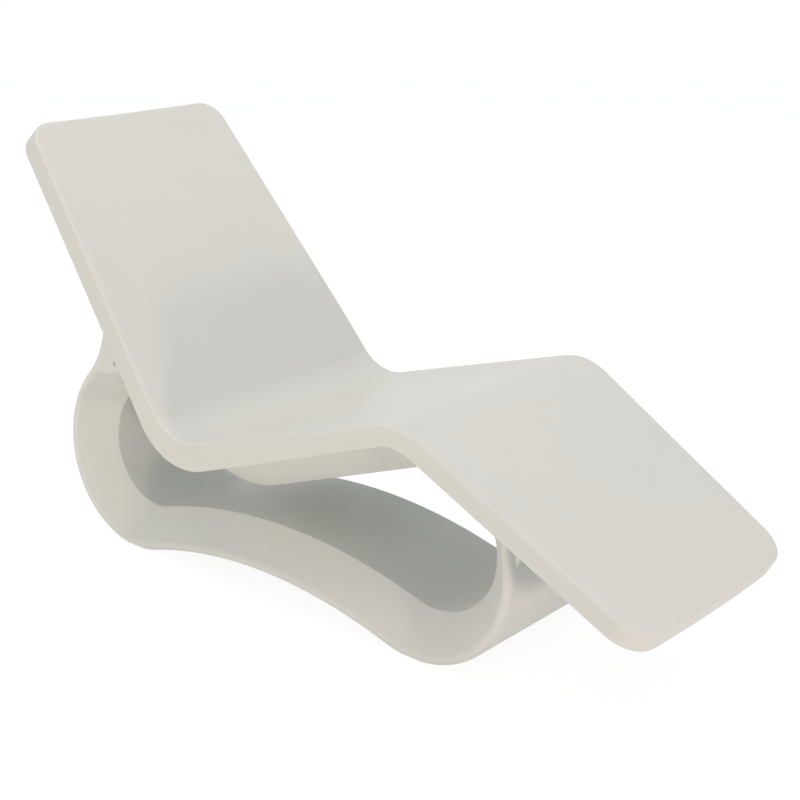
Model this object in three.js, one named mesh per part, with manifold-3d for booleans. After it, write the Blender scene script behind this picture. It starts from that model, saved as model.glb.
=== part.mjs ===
// Sun lounger: a one-person lounging shell in moulded plastic on a closed, bevelled loop base.
//
// Millimetres, +Z up. +X runs from the head end to the foot end, Y is the width, and the floor is
// z = 0. The outlines of both mouldings are worked out in side view, in (x, z), with x = 0 under
// the corner where the back meets the seat.
import * as THREE from 'three';
import { mergeVertices } from 'three/addons/utils/BufferGeometryUtils.js';
import Module from 'manifold-3d';

const degrees = Math.PI / 180;

// Lounging surface, side view: three straight runs joined by two rounded bends.
const backLength = 791;
const seatLength = 634;
const legRestLength = 590.5;
const backAngle = 51.4 * degrees; // above the floor
const seatAngle = 16.4 * degrees; // rising towards the knees
const legRestAngle = 29.5 * degrees; // falling towards the feet
const seatCornerHeight = 349.3; // top surface, where the runs of the back and the seat cross
const seatBendRadius = 110; // top surface, hollow side
const kneeBendRadius = 137; // top surface, round side

// Lounging surface, plan view and section.
const headWidth = 549;
const hipWidth = 678;
const kneeWidth = 610.5;
const footWidth = 520;
const hipBlend = 200; // how far the change of taper is spread along the shell at the hip
const kneeBlend = 90; // and at the knee
const backThickness = 54;
const hipThickness = 64; // the sides are deepest at the seat bend
const kneeThickness = 40.5;
const legThickness = 46.5;
const hipSwell = 220; // length over which the back thickens down to the seat bend
const headCornerRadius = 53;
const footCornerRadius = 62;
const footEndBow = 6; // the foot end bulges this much between its corners
const upperEdgeRadius = 6.5;
const lowerEdgeRadius = 5;
const headSag = 5; // the head end dips this much in the middle
const headSagReach = 150;
const backDish = 7; // depth of the shallow dish between the rims
const seatDish = 10;
const legDish = 5;
const rimWidth = 90; // width over which the dish rises to the rim

// Loop base, side view: a band round two lobes, arched between them.
const bandThickness = 85;
const frontBandThickness = 87;
const rearLobeRadius = 215;
const frontMeet = 21.31 * degrees; // between the front lobe's outer face and the leg rest it meets
const frontCeilingDrop = 6; // the front tunnel's ceiling is rounder than its floor by this
const rearLobeOffset = 277; // rear lobe's centre, behind the seat corner
const lobeSpacing = 845;
const archRise = 61;
const soleLength = 56; // flat length on which each lobe stands
const shoulderRadius = 259; // the rear lobe opens out to this above its centre
const shoulderTurn = 45 * degrees;
const hipDepth = 143; // from the top surface down to the tunnel, at the seat bend
const tipThickness = 9; // blunt tip where the loop runs out along the back

// Loop base, across: it is bevelled from its flat sides in to the tunnel.
const baseWidth = 443; // over the flat sides
const tunnelWidth = 294; // between the inner edges
const baseEdgeRadius = 12;
const neckLine = 430; // height to which the bevel reaches on the neck below the back
const neckBandThickness = 70; // and its least depth there
const frontDraw = 15; // each side draws in by this where the front lobe nears the leg rest
const frontDrawTurn = 40 * degrees; // over this turn of the lobe

// Webs where the front lobe leaves the leg rest.
const webThickness = 12;
const webInset = 17; // outer face, in from the base's side
const webDrop = 27; // lower tip, above the front lobe's centre
const webReach = 42; // upper corner, ahead of the lower tip

// Vent plug in the side of the loop.
const ventRadius = 4.5;
const ventDepth = 14;
const ventFlange = 1.2;
const plugClearance = 0.35;
const ventBack = 34.5; // behind the rear lobe's centre
const ventHeight = 440;

// Non-slip pads let into the soles.
const padRadius = 17;
const padThickness = 5;
const padProud = 1.5;
const padInset = 37; // pad's centre, in from the base's side

// Seating gap between touching pieces.
const seatingGap = 0.3;

// Two points closer than this are one.
const mergeDistance = seatingGap / 100;

// Steps of the rounded stretches, and rows of the straight ones.
const halfCircleSteps = 20;
const acrossSteps = 18;
const backRows = 14;
const bendSteps = 12;
const seatRows = 6;
const kneeSteps = 9;
const legRows = 6;
const cornerSteps = 6;
const upperEdgeSteps = 4;
const lowerEdgeSteps = 2;
const sweepSteps = 12;
const underLegSteps = 3;
const archSteps = 10;
const noseSteps = 3;
const outerEdgeSteps = 4;
const searchSteps = 60;
const padSides = 28;
const ventSides = 20;

// Shares of a turn.
const tipShare = 0.62; // of the tunnel's rear turn, below the loop's blunt tip
const kneeShare = 0.6; // of the front lobe's inner turn, below the end of the knee bend
const webRootShares = [0.8, 0.3]; // from the web's lower tip to where the lobe leaves the leg rest
const plugTaperShare = 0.8; // of the vent plug's radius and depth, where it narrows
const plugCrownShares = [0.75, 0.5]; // of its radius and flange, where its head rounds over

const point = (x, z) => new THREE.Vector2(x, z);
const heading = (angle) => point(Math.cos(angle), Math.sin(angle));
const leftOf = (direction) => point(-direction.y, direction.x);
const along = (start, direction, distance) => start.clone().addScaledVector(direction, distance);
const mix = (a, b, share) => a + (b - a) * share;
const smooth = (share) => {
  const s = Math.min(1, Math.max(0, share));
  return s * s * (3 - 2 * s);
};

// Corner points of the top surface's three runs.
const backDown = heading(-backAngle);
const seatUp = heading(seatAngle);
const legDown = heading(-legRestAngle);
const seatCorner = point(0, seatCornerHeight);
const headEnd = along(seatCorner, backDown, -backLength);
const kneeCorner = along(seatCorner, seatUp, seatLength);

// The path of the top surface, as lengths along it: run, bend, run, bend, run.
const seatBend = backAngle + seatAngle;
const kneeBend = seatAngle + legRestAngle;
const seatTangent = seatBendRadius * Math.tan(seatBend / 2);
const kneeTangent = kneeBendRadius * Math.tan(kneeBend / 2);
const backRun = backLength - seatTangent;
const seatRun = seatLength - seatTangent - kneeTangent;
const legRun = legRestLength - kneeTangent;
const seatBendStart = backRun;
const seatBendEnd = seatBendStart + seatBendRadius * seatBend;
const kneeBendStart = seatBendEnd + seatRun;
const kneeBendEnd = kneeBendStart + kneeBendRadius * kneeBend;
const pathLength = kneeBendEnd + legRun;

const seatBendCentre = along(along(headEnd, backDown, backRun), leftOf(backDown), seatBendRadius);
const kneeBendCentre = along(
  along(seatCorner, seatUp, seatTangent + seatRun),
  leftOf(seatUp),
  -kneeBendRadius,
);

// Point on the path and the direction square to it, away from the shell.
function pathAt(length) {
  if (length <= seatBendStart) {
    return { at: along(headEnd, backDown, length), up: leftOf(backDown) };
  }
  if (length < seatBendEnd) {
    const turned = (length - seatBendStart) / seatBendRadius - backAngle;
    const up = leftOf(heading(turned));
    return { at: along(seatBendCentre, up, -seatBendRadius), up };
  }
  if (length <= kneeBendStart) {
    const up = leftOf(seatUp);
    return { at: along(along(seatCorner, seatUp, seatTangent), seatUp, length - seatBendEnd), up };
  }
  if (length < kneeBendEnd) {
    const turned = seatAngle - (length - kneeBendStart) / kneeBendRadius;
    const up = leftOf(heading(turned));
    return { at: along(kneeBendCentre, up, kneeBendRadius), up };
  }
  const up = leftOf(legDown);
  return { at: along(along(kneeCorner, legDown, kneeTangent), legDown, length - kneeBendEnd), up };
}

// Half width of the shell: straight tapers from station to station, each change spread over a blend.
const hipStation = (seatBendStart + seatBendEnd) / 2;
const kneeStation = (kneeBendStart + kneeBendEnd) / 2;
function spreadChange(length, station, blend) {
  const past = length - station;
  if (past <= -blend) {
    return 0;
  }
  if (past >= blend) {
    return past;
  }
  return (past + blend) ** 2 / (4 * blend);
}
const backTaper = (hipWidth - headWidth) / hipStation;
const seatTaper = (kneeWidth - hipWidth) / (kneeStation - hipStation);
const legTaper = (footWidth - kneeWidth) / (pathLength - kneeStation);
function halfWidth(length) {
  const width =
    headWidth +
    backTaper * length +
    (seatTaper - backTaper) * spreadChange(length, hipStation, hipBlend) +
    (legTaper - seatTaper) * spreadChange(length, kneeStation, kneeBlend);
  return width / 2;
}

// Depth of the dish along the shell; it fades out at the knee bend and towards both ends.
function dishDepth(length) {
  if (length < hipStation) {
    return mix(backDish, seatDish, smooth(length / hipStation));
  }
  if (length < kneeStation) {
    return mix(seatDish, legDish, smooth((length - hipStation) / (kneeStation - hipStation)));
  }
  return legDish;
}

// Depth of the shell's side, square to the top surface.
function thicknessAt(length) {
  if (length < hipStation) {
    return mix(backThickness, hipThickness, smooth(1 - (hipStation - length) / hipSwell));
  }
  if (length < kneeBendStart) {
    const share = (length - hipStation) / (kneeBendStart - hipStation);
    return mix(hipThickness, kneeThickness, share);
  }
  const past = (length - kneeBendStart) / (kneeBendEnd - kneeBendStart);
  return mix(kneeThickness, legThickness, smooth(past));
}

function geometryFrom(positions, triangles) {
  const geometry = new THREE.BufferGeometry();
  geometry.setAttribute('position', new THREE.Float32BufferAttribute(positions, 3));
  geometry.setIndex(triangles);
  return dropSlivers(mergeVertices(geometry, mergeDistance));
}

// Merged points leave triangles with two corners alike: they are dropped.
function dropSlivers(geometry) {
  const index = geometry.getIndex().array;
  const kept = [];
  for (let i = 0; i < index.length; i += 3) {
    const [a, b, c] = [index[i], index[i + 1], index[i + 2]];
    if (a !== b && b !== c && c !== a) {
      kept.push(a, b, c);
    }
  }
  geometry.setIndex(kept);
  geometry.computeVertexNormals();
  return geometry;
}

// Lengths along the path at which the shell has a row of points.
function stationLengths() {
  const lengths = [];
  const run = (from, to, steps) => {
    for (let i = 0; i < steps; i += 1) {
      lengths.push(mix(from, to, i / steps));
    }
  };
  for (let i = 0; i < cornerSteps; i += 1) {
    lengths.push(headCornerRadius * (1 - Math.cos((i / cornerSteps) * 90 * degrees)));
  }
  run(headCornerRadius, seatBendStart, backRows);
  run(seatBendStart, seatBendEnd, bendSteps);
  run(seatBendEnd, kneeBendStart, seatRows);
  run(kneeBendStart, kneeBendEnd, kneeSteps);
  run(kneeBendEnd, pathLength - footCornerRadius, legRows);
  for (let i = 0; i <= cornerSteps; i += 1) {
    lengths.push(pathLength - footCornerRadius * (1 - Math.sin((i / cornerSteps) * 90 * degrees)));
  }
  return lengths;
}

const rowLengths = stationLengths();

// Distance that the rounded plan corners take off the half width at a length along the path.
function cornerLoss(fromEnd, radius) {
  if (fromEnd >= radius) {
    return 0;
  }
  return radius - Math.sqrt(Math.max(0, radius ** 2 - (radius - fromEnd) ** 2));
}

// Distance from a point of the face in to the nearest part of the plan outline.
function edgeDistance(fromEnd, beside, full, radius) {
  const pastEnd = radius - fromEnd;
  const pastSide = beside - (full - radius);
  if (pastEnd > 0 && pastSide > 0) {
    return radius - Math.hypot(pastEnd, pastSide);
  }
  return Math.min(fromEnd, full - beside);
}

// The lounging shell: nested plan outlines carry the rounded edges, rows across fill the faces.
function shellGeometry() {
  const lengths = rowLengths;
  const positions = [];
  const triangles = [];
  const columns = acrossSteps;
  const acrossShare = (j) => -Math.cos((j / columns) * Math.PI);

  // A point of the face or of an outline drawn in by an inset: the ends and the corners come in
  // as well. A depth is measured from the top surface, and a rise from the underside.
  const place = (length, share, { inset, depth, rise, dish }) => {
    const fromEnd = Math.min(length, pathLength - length);
    const radius = length < pathLength / 2 ? headCornerRadius : footCornerRadius;
    const loss = cornerLoss(fromEnd, radius);
    const full = halfWidth(length);
    const shrink = (radius - inset) / radius;
    const half = fromEnd < radius ? full - radius + (radius - loss) * shrink : full - inset;
    const y = half * share;
    let drawn = length;
    if (fromEnd < radius) {
      const inner = radius - (radius - fromEnd) * shrink;
      drawn = length < pathLength / 2 ? inner : pathLength - inner;
    }
    const crown = 1 - (y / full) ** 2;
    const drawnFromEnd = Math.min(drawn, pathLength - drawn);
    const edge = edgeDistance(drawnFromEnd, Math.abs(y), full, radius) - upperEdgeRadius;
    drawn += footEndBow * crown * smooth(1 - (pathLength - drawn) / footCornerRadius);
    const hollow = dish ? dishDepth(drawn) * smooth(edge / rimWidth) : 0;
    const sag = headSag * crown * smooth(1 - drawn / headSagReach);
    const { at, up } = pathAt(Math.min(pathLength, Math.max(0, drawn)));
    const beyond = Math.max(0, drawn - pathLength);
    const below = rise === undefined ? depth : thicknessAt(drawn) - rise;
    const lowered = along(along(at, up, -below - hollow - sag), legDown, beyond);
    return [lowered.x, y, lowered.y];
  };

  const addPoint = (values) => {
    positions.push(...values);
    return positions.length / 3 - 1;
  };
  const addQuad = (a, b, c, d) => {
    triangles.push(a, b, c, a, c, d);
  };

  // Faces: a grid over the top and one over the underside, each drawn in to its rounded edge.
  const grid = (level) =>
    lengths.map((length) => {
      const row = [];
      for (let j = 0; j <= columns; j += 1) {
        row.push(addPoint(place(length, acrossShare(j), level)));
      }
      return row;
    });
  const top = grid({ inset: upperEdgeRadius, depth: 0, dish: true });
  const underside = grid({ inset: lowerEdgeRadius, rise: 0 });
  for (let i = 0; i + 1 < lengths.length; i += 1) {
    for (let j = 0; j < columns; j += 1) {
      addQuad(top[i][j], top[i + 1][j], top[i + 1][j + 1], top[i][j + 1]);
      addQuad(underside[i][j], underside[i][j + 1], underside[i + 1][j + 1], underside[i + 1][j]);
    }
  }

  // Edge: one closed outline for each step of the rounding, from the top face down.
  const outlineOf = (level) => {
    const ring = [];
    const last = lengths.length - 1;
    for (let i = 0; i <= last; i += 1) {
      ring.push(addPoint(place(lengths[i], -1, level)));
    }
    for (let j = 1; j < columns; j += 1) {
      ring.push(addPoint(place(lengths[last], acrossShare(j), level)));
    }
    for (let i = last; i >= 0; i -= 1) {
      ring.push(addPoint(place(lengths[i], 1, level)));
    }
    for (let j = columns - 1; j > 0; j -= 1) {
      ring.push(addPoint(place(lengths[0], acrossShare(j), level)));
    }
    return ring;
  };
  const rings = [];
  for (let k = 0; k <= upperEdgeSteps; k += 1) {
    const turn = (k / upperEdgeSteps) * 90 * degrees;
    const inset = upperEdgeRadius * (1 - Math.sin(turn));
    rings.push(outlineOf({ inset, depth: upperEdgeRadius * (1 - Math.cos(turn)) }));
  }
  for (let k = 0; k <= lowerEdgeSteps; k += 1) {
    const turn = (k / lowerEdgeSteps) * 90 * degrees;
    const inset = lowerEdgeRadius * (1 - Math.cos(turn));
    rings.push(outlineOf({ inset, rise: lowerEdgeRadius * (1 - Math.sin(turn)) }));
  }
  for (let k = 0; k + 1 < rings.length; k += 1) {
    const upper = rings[k];
    const lower = rings[k + 1];
    for (let i = 0; i < upper.length; i += 1) {
      const next = (i + 1) % upper.length;
      addQuad(upper[i], lower[i], lower[next], upper[next]);
    }
  }
  return geometryFrom(positions, triangles);
}

// The loop base.

const onArc = (centre, radius, angle) => along(centre, heading(angle), radius);

// The size at which a gap closes, found by halving.
function sizeThatCloses(gap, smallest, largest) {
  let [low, high] = [smallest, largest];
  for (let i = 0; i < searchSteps; i += 1) {
    const middle = (low + high) / 2;
    if (gap(middle) < 0) {
      low = middle;
    } else {
      high = middle;
    }
  }
  return low;
}

// Centre of a lobe that stands on its sole.
function lobeCentre(x, radius) {
  return point(x, padProud + Math.sqrt(radius ** 2 - (soleLength / 2) ** 2));
}
const rearLobe = lobeCentre(-rearLobeOffset, rearLobeRadius);

// The front lobe fills the height between the floor and the undersides of seat and leg rest.
const seatUnder = along(kneeCorner, leftOf(seatUp), -kneeThickness - seatingGap);
const legUnder = along(kneeCorner, leftOf(legDown), -legThickness - seatingGap);
const roomAbove = (from) =>
  Math.min(
    leftOf(seatUp).dot(seatUnder.clone().sub(from)),
    leftOf(legDown).dot(legUnder.clone().sub(from)),
  );
const frontLobeAt = (radius) => lobeCentre(lobeSpacing - rearLobeOffset, radius);
const frontLobeRadius = sizeThatCloses(
  (radius) => radius * Math.cos(frontMeet) - roomAbove(frontLobeAt(radius)),
  soleLength,
  kneeCorner.y,
);
const frontLobe = frontLobeAt(frontLobeRadius);
const frontTunnelRadius = frontLobeRadius - frontBandThickness;
const frontCeilingRadius = frontTunnelRadius - frontCeilingDrop;

// Line of the shell's underside, less the seating gap, at a length along the path.
function seatOfLoop(length) {
  const { at, up } = pathAt(length);
  return along(at, up, -thicknessAt(length) - seatingGap);
}

// Distance from a point behind the back to its top surface, square to it, less a depth.
const backUp = backDown.clone().negate();
const backOut = leftOf(backDown).negate();
const backDistance = (from, depth) => backOut.dot(from.clone().sub(headEnd)) - depth;

// Shoulder arc above the rear lobe, and the sweep that runs from it up to the back.
const shoulderCentre = point(rearLobe.x - rearLobeRadius + shoulderRadius, rearLobe.y);
const shoulderEnd = 180 * degrees - shoulderTurn;
const sweepStart = onArc(shoulderCentre, shoulderRadius, shoulderEnd);
const sweepHeading = shoulderEnd - 90 * degrees;
const sweepTurn = 180 * degrees - backAngle - sweepHeading;
const sweepRadius =
  backDistance(sweepStart, backThickness + seatingGap) / (1 - Math.cos(sweepTurn));
const sweepCentre = along(sweepStart, leftOf(heading(sweepHeading)), sweepRadius);
const tipTurn = Math.acos(1 - tipThickness / sweepRadius);
const sweepAt = (share) => {
  const angle = sweepHeading + (sweepTurn - tipTurn) * share - 90 * degrees;
  return onArc(sweepCentre, sweepRadius, angle);
};
const tip = sweepAt(1);
const tipLength = backUp.dot(headEnd.clone().sub(tip));

// Arch under the loop: one arc that touches both lobes and rises to the stated height.
const rearArchTerm = rearLobe.y - archRise - padProud;
const frontArchTerm = frontLobe.y - archRise - padProud;
function archGap(radius) {
  const rear = Math.sqrt((radius + rearLobeRadius) ** 2 - (radius + rearArchTerm) ** 2);
  const front = Math.sqrt((radius + frontLobeRadius) ** 2 - (radius + frontArchTerm) ** 2);
  return rear + front - lobeSpacing;
}
const archRadius = sizeThatCloses(archGap, frontLobeRadius, lobeSpacing ** 2 / archRise);
const archCentre = point(
  rearLobe.x +
    Math.sqrt((archRadius + rearLobeRadius) ** 2 - (archRadius + rearArchTerm) ** 2),
  padProud + archRise - archRadius,
);
const angleTo = (from, to) => Math.atan2(to.y - from.y, to.x - from.x);
const archFrontAngle = angleTo(archCentre, frontLobe);
const archRearAngle = angleTo(archCentre, rearLobe);

// Tunnel, upper side: round the seat bend, then a straight run onto the front lobe's ceiling arc.
const hipRadius = seatBendRadius + hipDepth;
const frontTop = point(frontLobe.x + frontTunnelRadius - frontCeilingRadius, frontLobe.y);
const centres = frontTop.clone().sub(seatBendCentre);
const ceilingAngle =
  Math.atan2(centres.y, centres.x) +
  Math.asin((hipRadius + frontCeilingRadius) / centres.length());
const ceilingStart = along(seatBendCentre, leftOf(heading(ceilingAngle)), -hipRadius);
const ceilingEnd = along(frontTop, leftOf(heading(ceilingAngle)), frontCeilingRadius);
const frontInner = (angle) =>
  angle > 0
    ? onArc(frontTop, frontCeilingRadius, angle)
    : onArc(frontLobe, frontTunnelRadius, angle);

// Tunnel, rear end: from the shoulder's inner arc round and down along the back.
const shoulderInner = onArc(shoulderCentre, shoulderRadius - bandThickness, shoulderEnd);
const turnOver = sweepHeading + backAngle;
const turnRadius = backDistance(shoulderInner, hipDepth) / (1 - Math.cos(turnOver));
const turnCentre = along(shoulderInner, leftOf(heading(sweepHeading)), -turnRadius);
const turnAt = (share) =>
  onArc(turnCentre, turnRadius, sweepHeading + 90 * degrees - turnOver * share);

// Where the front lobe's outer arc meets the underside of the leg rest.
const frontLeave = 90 * degrees - legRestAngle - frontMeet;
const leavePoint = onArc(frontLobe, frontLobeRadius, frontLeave);
const leaveLength =
  kneeBendEnd + legDown.dot(leavePoint.clone().sub(along(kneeCorner, legDown, kneeTangent)));

// Round the loop, clockwise in side view. Each station has an outer and an inner point. Its outer
// face is free or lies under the shell, the band may be deeper than its bevel, and each side may
// be drawn in.
function loopStations() {
  const stations = [];
  const flat = (at) => point(at.x, Math.max(at.y, padProud));
  const add = (outer, inner, { free = false, deep = false, draw = 0 }) => {
    stations.push({ outer: flat(outer), inner, free, deep, draw });
  };
  const arcStep = Math.PI / halfCircleSteps;
  const rearInner = rearLobeRadius - bandThickness;
  const arcRun = (from, to, visit) => {
    const steps = Math.max(1, Math.round(Math.abs(to - from) / arcStep));
    for (let i = 0; i < steps; i += 1) {
      visit(mix(from, to, i / steps));
    }
  };

  // Rear lobe, from where the arch leaves it to its rearmost point; the sole's ends are stations.
  const rearSole = Math.asin(soleLength / 2 / rearLobeRadius);
  const bottom = -90 * degrees;
  const ring = (angle) =>
    add(onArc(rearLobe, rearLobeRadius, angle), onArc(rearLobe, rearInner, angle), {
      free: true,
    });
  arcRun(archRearAngle - 180 * degrees, bottom + rearSole, ring);
  arcRun(bottom + rearSole, bottom - rearSole, ring);
  arcRun(bottom - rearSole, -180 * degrees, ring);

  // Shoulder.
  arcRun(180 * degrees, shoulderEnd, (angle) => {
    add(
      onArc(shoulderCentre, shoulderRadius, angle),
      onArc(shoulderCentre, shoulderRadius - bandThickness, angle),
      { free: true },
    );
  });

  // Sweep up to the blunt tip, with the tunnel's rear end turning over below it.
  for (let i = 0; i <= sweepSteps; i += 1) {
    const share = i / sweepSteps;
    add(sweepAt(share), turnAt(share * tipShare), { free: true, deep: true });
  }

  // Down the back's underside, by the shell's own rows, so that the two lie face to face.
  const under = [tipLength, ...rowLengths.filter((a) => a > tipLength && a < seatBendStart)];
  for (let i = 0; i < under.length; i += 1) {
    const share = mix(tipShare, 1, (i + 1) / (under.length + 1));
    add(seatOfLoop(under[i]), turnAt(share), { deep: true });
  }

  // Round the seat bend.
  const hipStart = -backAngle - 90 * degrees;
  const hipEnd = ceilingAngle - 90 * degrees;
  for (let i = 0; i < bendSteps; i += 1) {
    add(
      seatOfLoop(mix(seatBendStart, seatBendEnd, i / bendSteps)),
      onArc(seatBendCentre, hipRadius, mix(hipStart, hipEnd, i / bendSteps)),
      {},
    );
  }

  // Under the seat.
  for (let i = 0; i < seatRows; i += 1) {
    const share = i / seatRows;
    add(
      seatOfLoop(mix(seatBendEnd, kneeBendStart, share)),
      point(mix(ceilingStart.x, ceilingEnd.x, share), mix(ceilingStart.y, ceilingEnd.y, share)),
      { draw: frontDraw * share },
    );
  }

  // Round the knee bend and down the leg rest to where the front lobe leaves it.
  const kneeInnerStart = ceilingAngle + 90 * degrees;
  for (let i = 0; i < kneeSteps; i += 1) {
    const angle = mix(kneeInnerStart, frontLeave, (i / kneeSteps) * kneeShare);
    add(seatOfLoop(mix(kneeBendStart, kneeBendEnd, i / kneeSteps)), frontInner(angle), {
      draw: frontDraw,
    });
  }
  for (let i = 0; i < underLegSteps; i += 1) {
    const share = i / underLegSteps;
    const angle = mix(kneeInnerStart, frontLeave, mix(kneeShare, 1, share));
    add(seatOfLoop(mix(kneeBendEnd, leaveLength, share)), frontInner(angle), {
      draw: frontDraw,
    });
  }

  // Front lobe, down to the sole and on to the arch.
  const frontSole = Math.asin(soleLength / 2 / frontLobeRadius);
  const front = (angle) =>
    add(onArc(frontLobe, frontLobeRadius, angle), frontInner(angle), {
      free: true,
      draw: frontDraw * smooth(angle / frontDrawTurn),
    });
  arcRun(frontLeave, bottom + frontSole, front);
  arcRun(bottom + frontSole, bottom - frontSole, front);
  arcRun(bottom - frontSole, archFrontAngle - 180 * degrees, front);

  // Arch.
  for (let i = 0; i < archSteps; i += 1) {
    const share = i / archSteps;
    const angle = mix(archFrontAngle, archRearAngle, share);
    const inner = archRadius + mix(frontBandThickness, bandThickness, share);
    add(onArc(archCentre, archRadius, angle), onArc(archCentre, inner, angle), { free: true });
  }
  return stations;
}

// Depth of the bevel at a station: the whole band, except on the neck.
function bevelDepth({ outer, inner, deep }, across) {
  if (!deep) {
    return across;
  }
  const share = (neckLine - inner.y) / (outer.y - inner.y);
  return Math.min(across, Math.max(neckBandThickness, across * share));
}

// Turn at which the bevel leaves the rounded edge, so that it runs straight to the tunnel's edge,
// which lies this far across and down from the rounding's centre.
function bevelFoot(across, down) {
  return Math.atan2(down, across) - Math.acos(baseEdgeRadius / Math.hypot(across, down));
}

// Half of the band's section at a station, from the tunnel's edge to the outer face.
// Each entry is [y, depth below the outer point], with the depth measured towards the tunnel.
function halfSection(station) {
  const across = station.outer.distanceTo(station.inner);
  const depth = bevelDepth(station, across);
  const behind = across - depth;
  const side = baseWidth / 2 - station.draw;
  const centreY = side - baseEdgeRadius;
  const section = [[tunnelWidth / 2, across]];
  const foot = bevelFoot(tunnelWidth / 2 - centreY, depth - baseEdgeRadius);
  for (let k = 0; k <= noseSteps; k += 1) {
    const angle = mix(foot, 0, k / noseSteps);
    section.push([
      centreY + baseEdgeRadius * Math.cos(angle),
      behind + baseEdgeRadius * (1 + Math.sin(angle)),
    ]);
  }
  if (station.free) {
    for (let k = 0; k <= outerEdgeSteps; k += 1) {
      const angle = (k / outerEdgeSteps) * 90 * degrees;
      section.push([
        centreY + baseEdgeRadius * Math.cos(angle),
        baseEdgeRadius * (1 - Math.sin(angle)),
      ]);
    }
  } else {
    section.push([side, baseEdgeRadius]);
    for (let k = 1; k <= outerEdgeSteps; k += 1) {
      section.push([side, 0]);
    }
  }
  return section;
}

function loopGeometry() {
  const stations = loopStations();
  const positions = [];
  const triangles = [];
  let count = 0;
  for (const station of stations) {
    const inward = station.inner.clone().sub(station.outer).normalize();
    const half = halfSection(station);
    const ring = [
      ...half.map(([y, depth]) => [-y, depth]),
      ...half
        .slice()
        .reverse()
        .map(([y, depth]) => [y, depth]),
    ];
    count = ring.length;
    for (const [y, depth] of ring) {
      const at = along(station.outer, inward, depth);
      positions.push(at.x, y, at.y);
    }
  }
  const total = stations.length;
  for (let i = 0; i < total; i += 1) {
    const next = (i + 1) % total;
    for (let k = 0; k < count; k += 1) {
      const up = (k + 1) % count;
      const a = i * count + k;
      const b = i * count + up;
      const c = next * count + up;
      const d = next * count + k;
      triangles.push(a, d, c, a, c, b);
    }
  }
  return geometryFrom(positions, triangles);
}

// Web between the front lobe and the leg rest, as an extruded outline.
function webGeometry(side) {
  const overlap = baseEdgeRadius / 2;
  const tipAngle = Math.asin(webDrop / frontLobeRadius);
  const lowerTip = onArc(frontLobe, frontLobeRadius, tipAngle);
  const corner = point(lowerTip.x + webReach, 0);
  corner.y = legUnder.y + (corner.x - legUnder.x) * Math.tan(-legRestAngle);
  const outline = [lowerTip, corner];
  const behind = leftOf(legDown).multiplyScalar(-overlap / 2);
  outline.push(leavePoint.clone().add(behind));
  for (const share of webRootShares) {
    const angle = mix(tipAngle, frontLeave, share);
    outline.push(onArc(frontLobe, frontLobeRadius - overlap * 2, angle));
  }
  outline.push(onArc(frontLobe, frontLobeRadius - overlap, tipAngle));
  const geometry = new THREE.ExtrudeGeometry(new THREE.Shape(outline), {
    depth: webThickness,
    bevelEnabled: false,
    curveSegments: 1,
  });
  geometry.rotateX(90 * degrees);
  const outerFace = baseWidth / 2 - webInset;
  geometry.translate(0, side > 0 ? outerFace : -outerFace + webThickness, 0);
  return geometry;
}

// The vent sits in the flat side of the neck, between the sweep and the back.
const ventSeat = new THREE.Vector3(rearLobe.x - ventBack, -baseWidth / 2, ventHeight);
const ventAxis = new THREE.Vector3(0, -1, 0);

function standAt(mesh, at, axis) {
  mesh.quaternion.setFromUnitVectors(new THREE.Vector3(0, 1, 0), axis);
  mesh.position.copy(at);
}

function ventPlugGeometry() {
  const radius = ventRadius - plugClearance;
  const bottom = -ventDepth + plugClearance * 2;
  const [crownRadius, crownDepth] = plugCrownShares;
  const profile = [
    new THREE.Vector2(0, bottom),
    new THREE.Vector2(radius * plugTaperShare, bottom),
    new THREE.Vector2(radius, -ventDepth * plugTaperShare),
    new THREE.Vector2(radius, -ventFlange),
    new THREE.Vector2(radius * crownRadius, -ventFlange * crownDepth),
    new THREE.Vector2(0, -ventFlange * crownDepth ** 2),
  ];
  return new THREE.LatheGeometry(profile, ventSides);
}

function padGeometry(radius, thickness, edge) {
  const profile = [
    new THREE.Vector2(0, 0),
    new THREE.Vector2(radius - edge, 0),
    new THREE.Vector2(radius, edge),
    new THREE.Vector2(radius, thickness),
    new THREE.Vector2(0, thickness),
  ];
  const geometry = new THREE.LatheGeometry(profile, padSides);
  geometry.rotateX(90 * degrees);
  return geometry;
}

// Closed solids, joined and cut.
const wasm = await Module();
wasm.setup();

function solidOf(geometry, matrix) {
  let bare = geometry.clone();
  if (matrix) {
    bare.applyMatrix4(matrix);
  }
  bare.deleteAttribute('normal');
  bare.deleteAttribute('uv');
  bare = dropSlivers(mergeVertices(bare, mergeDistance / 10));
  bare.deleteAttribute('normal');
  return new wasm.Manifold(
    new wasm.Mesh({
      numProp: 3,
      vertProperties: new Float32Array(bare.getAttribute('position').array),
      triVerts: new Uint32Array(bare.getIndex().array),
    }),
  );
}

function geometryOf(solid) {
  const mesh = solid.getMesh();
  const geometry = new THREE.BufferGeometry();
  const corners = new THREE.Float32BufferAttribute(mesh.vertProperties, mesh.numProp);
  geometry.setAttribute('position', corners);
  geometry.setIndex(new THREE.BufferAttribute(new Uint32Array(mesh.triVerts), 1));
  geometry.computeVertexNormals();
  return geometry;
}

const shellPlastic = new THREE.MeshStandardMaterial({
  color: '#dbd9d2',
  roughness: 0.55,
  metalness: 0,
});
const basePlastic = new THREE.MeshStandardMaterial({
  color: '#d6d3cb',
  roughness: 0.58,
  metalness: 0,
});
const plugRubber = new THREE.MeshStandardMaterial({
  color: '#bdbdb7',
  roughness: 0.7,
  metalness: 0,
});
const padRubber = new THREE.MeshStandardMaterial({
  color: '#8f8f8b',
  roughness: 0.85,
  metalness: 0,
});

const lounger = new THREE.Group();

const shell = new THREE.Mesh(shellGeometry(), shellPlastic);
shell.name = 'lounging_shell';
lounger.add(shell);

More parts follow.
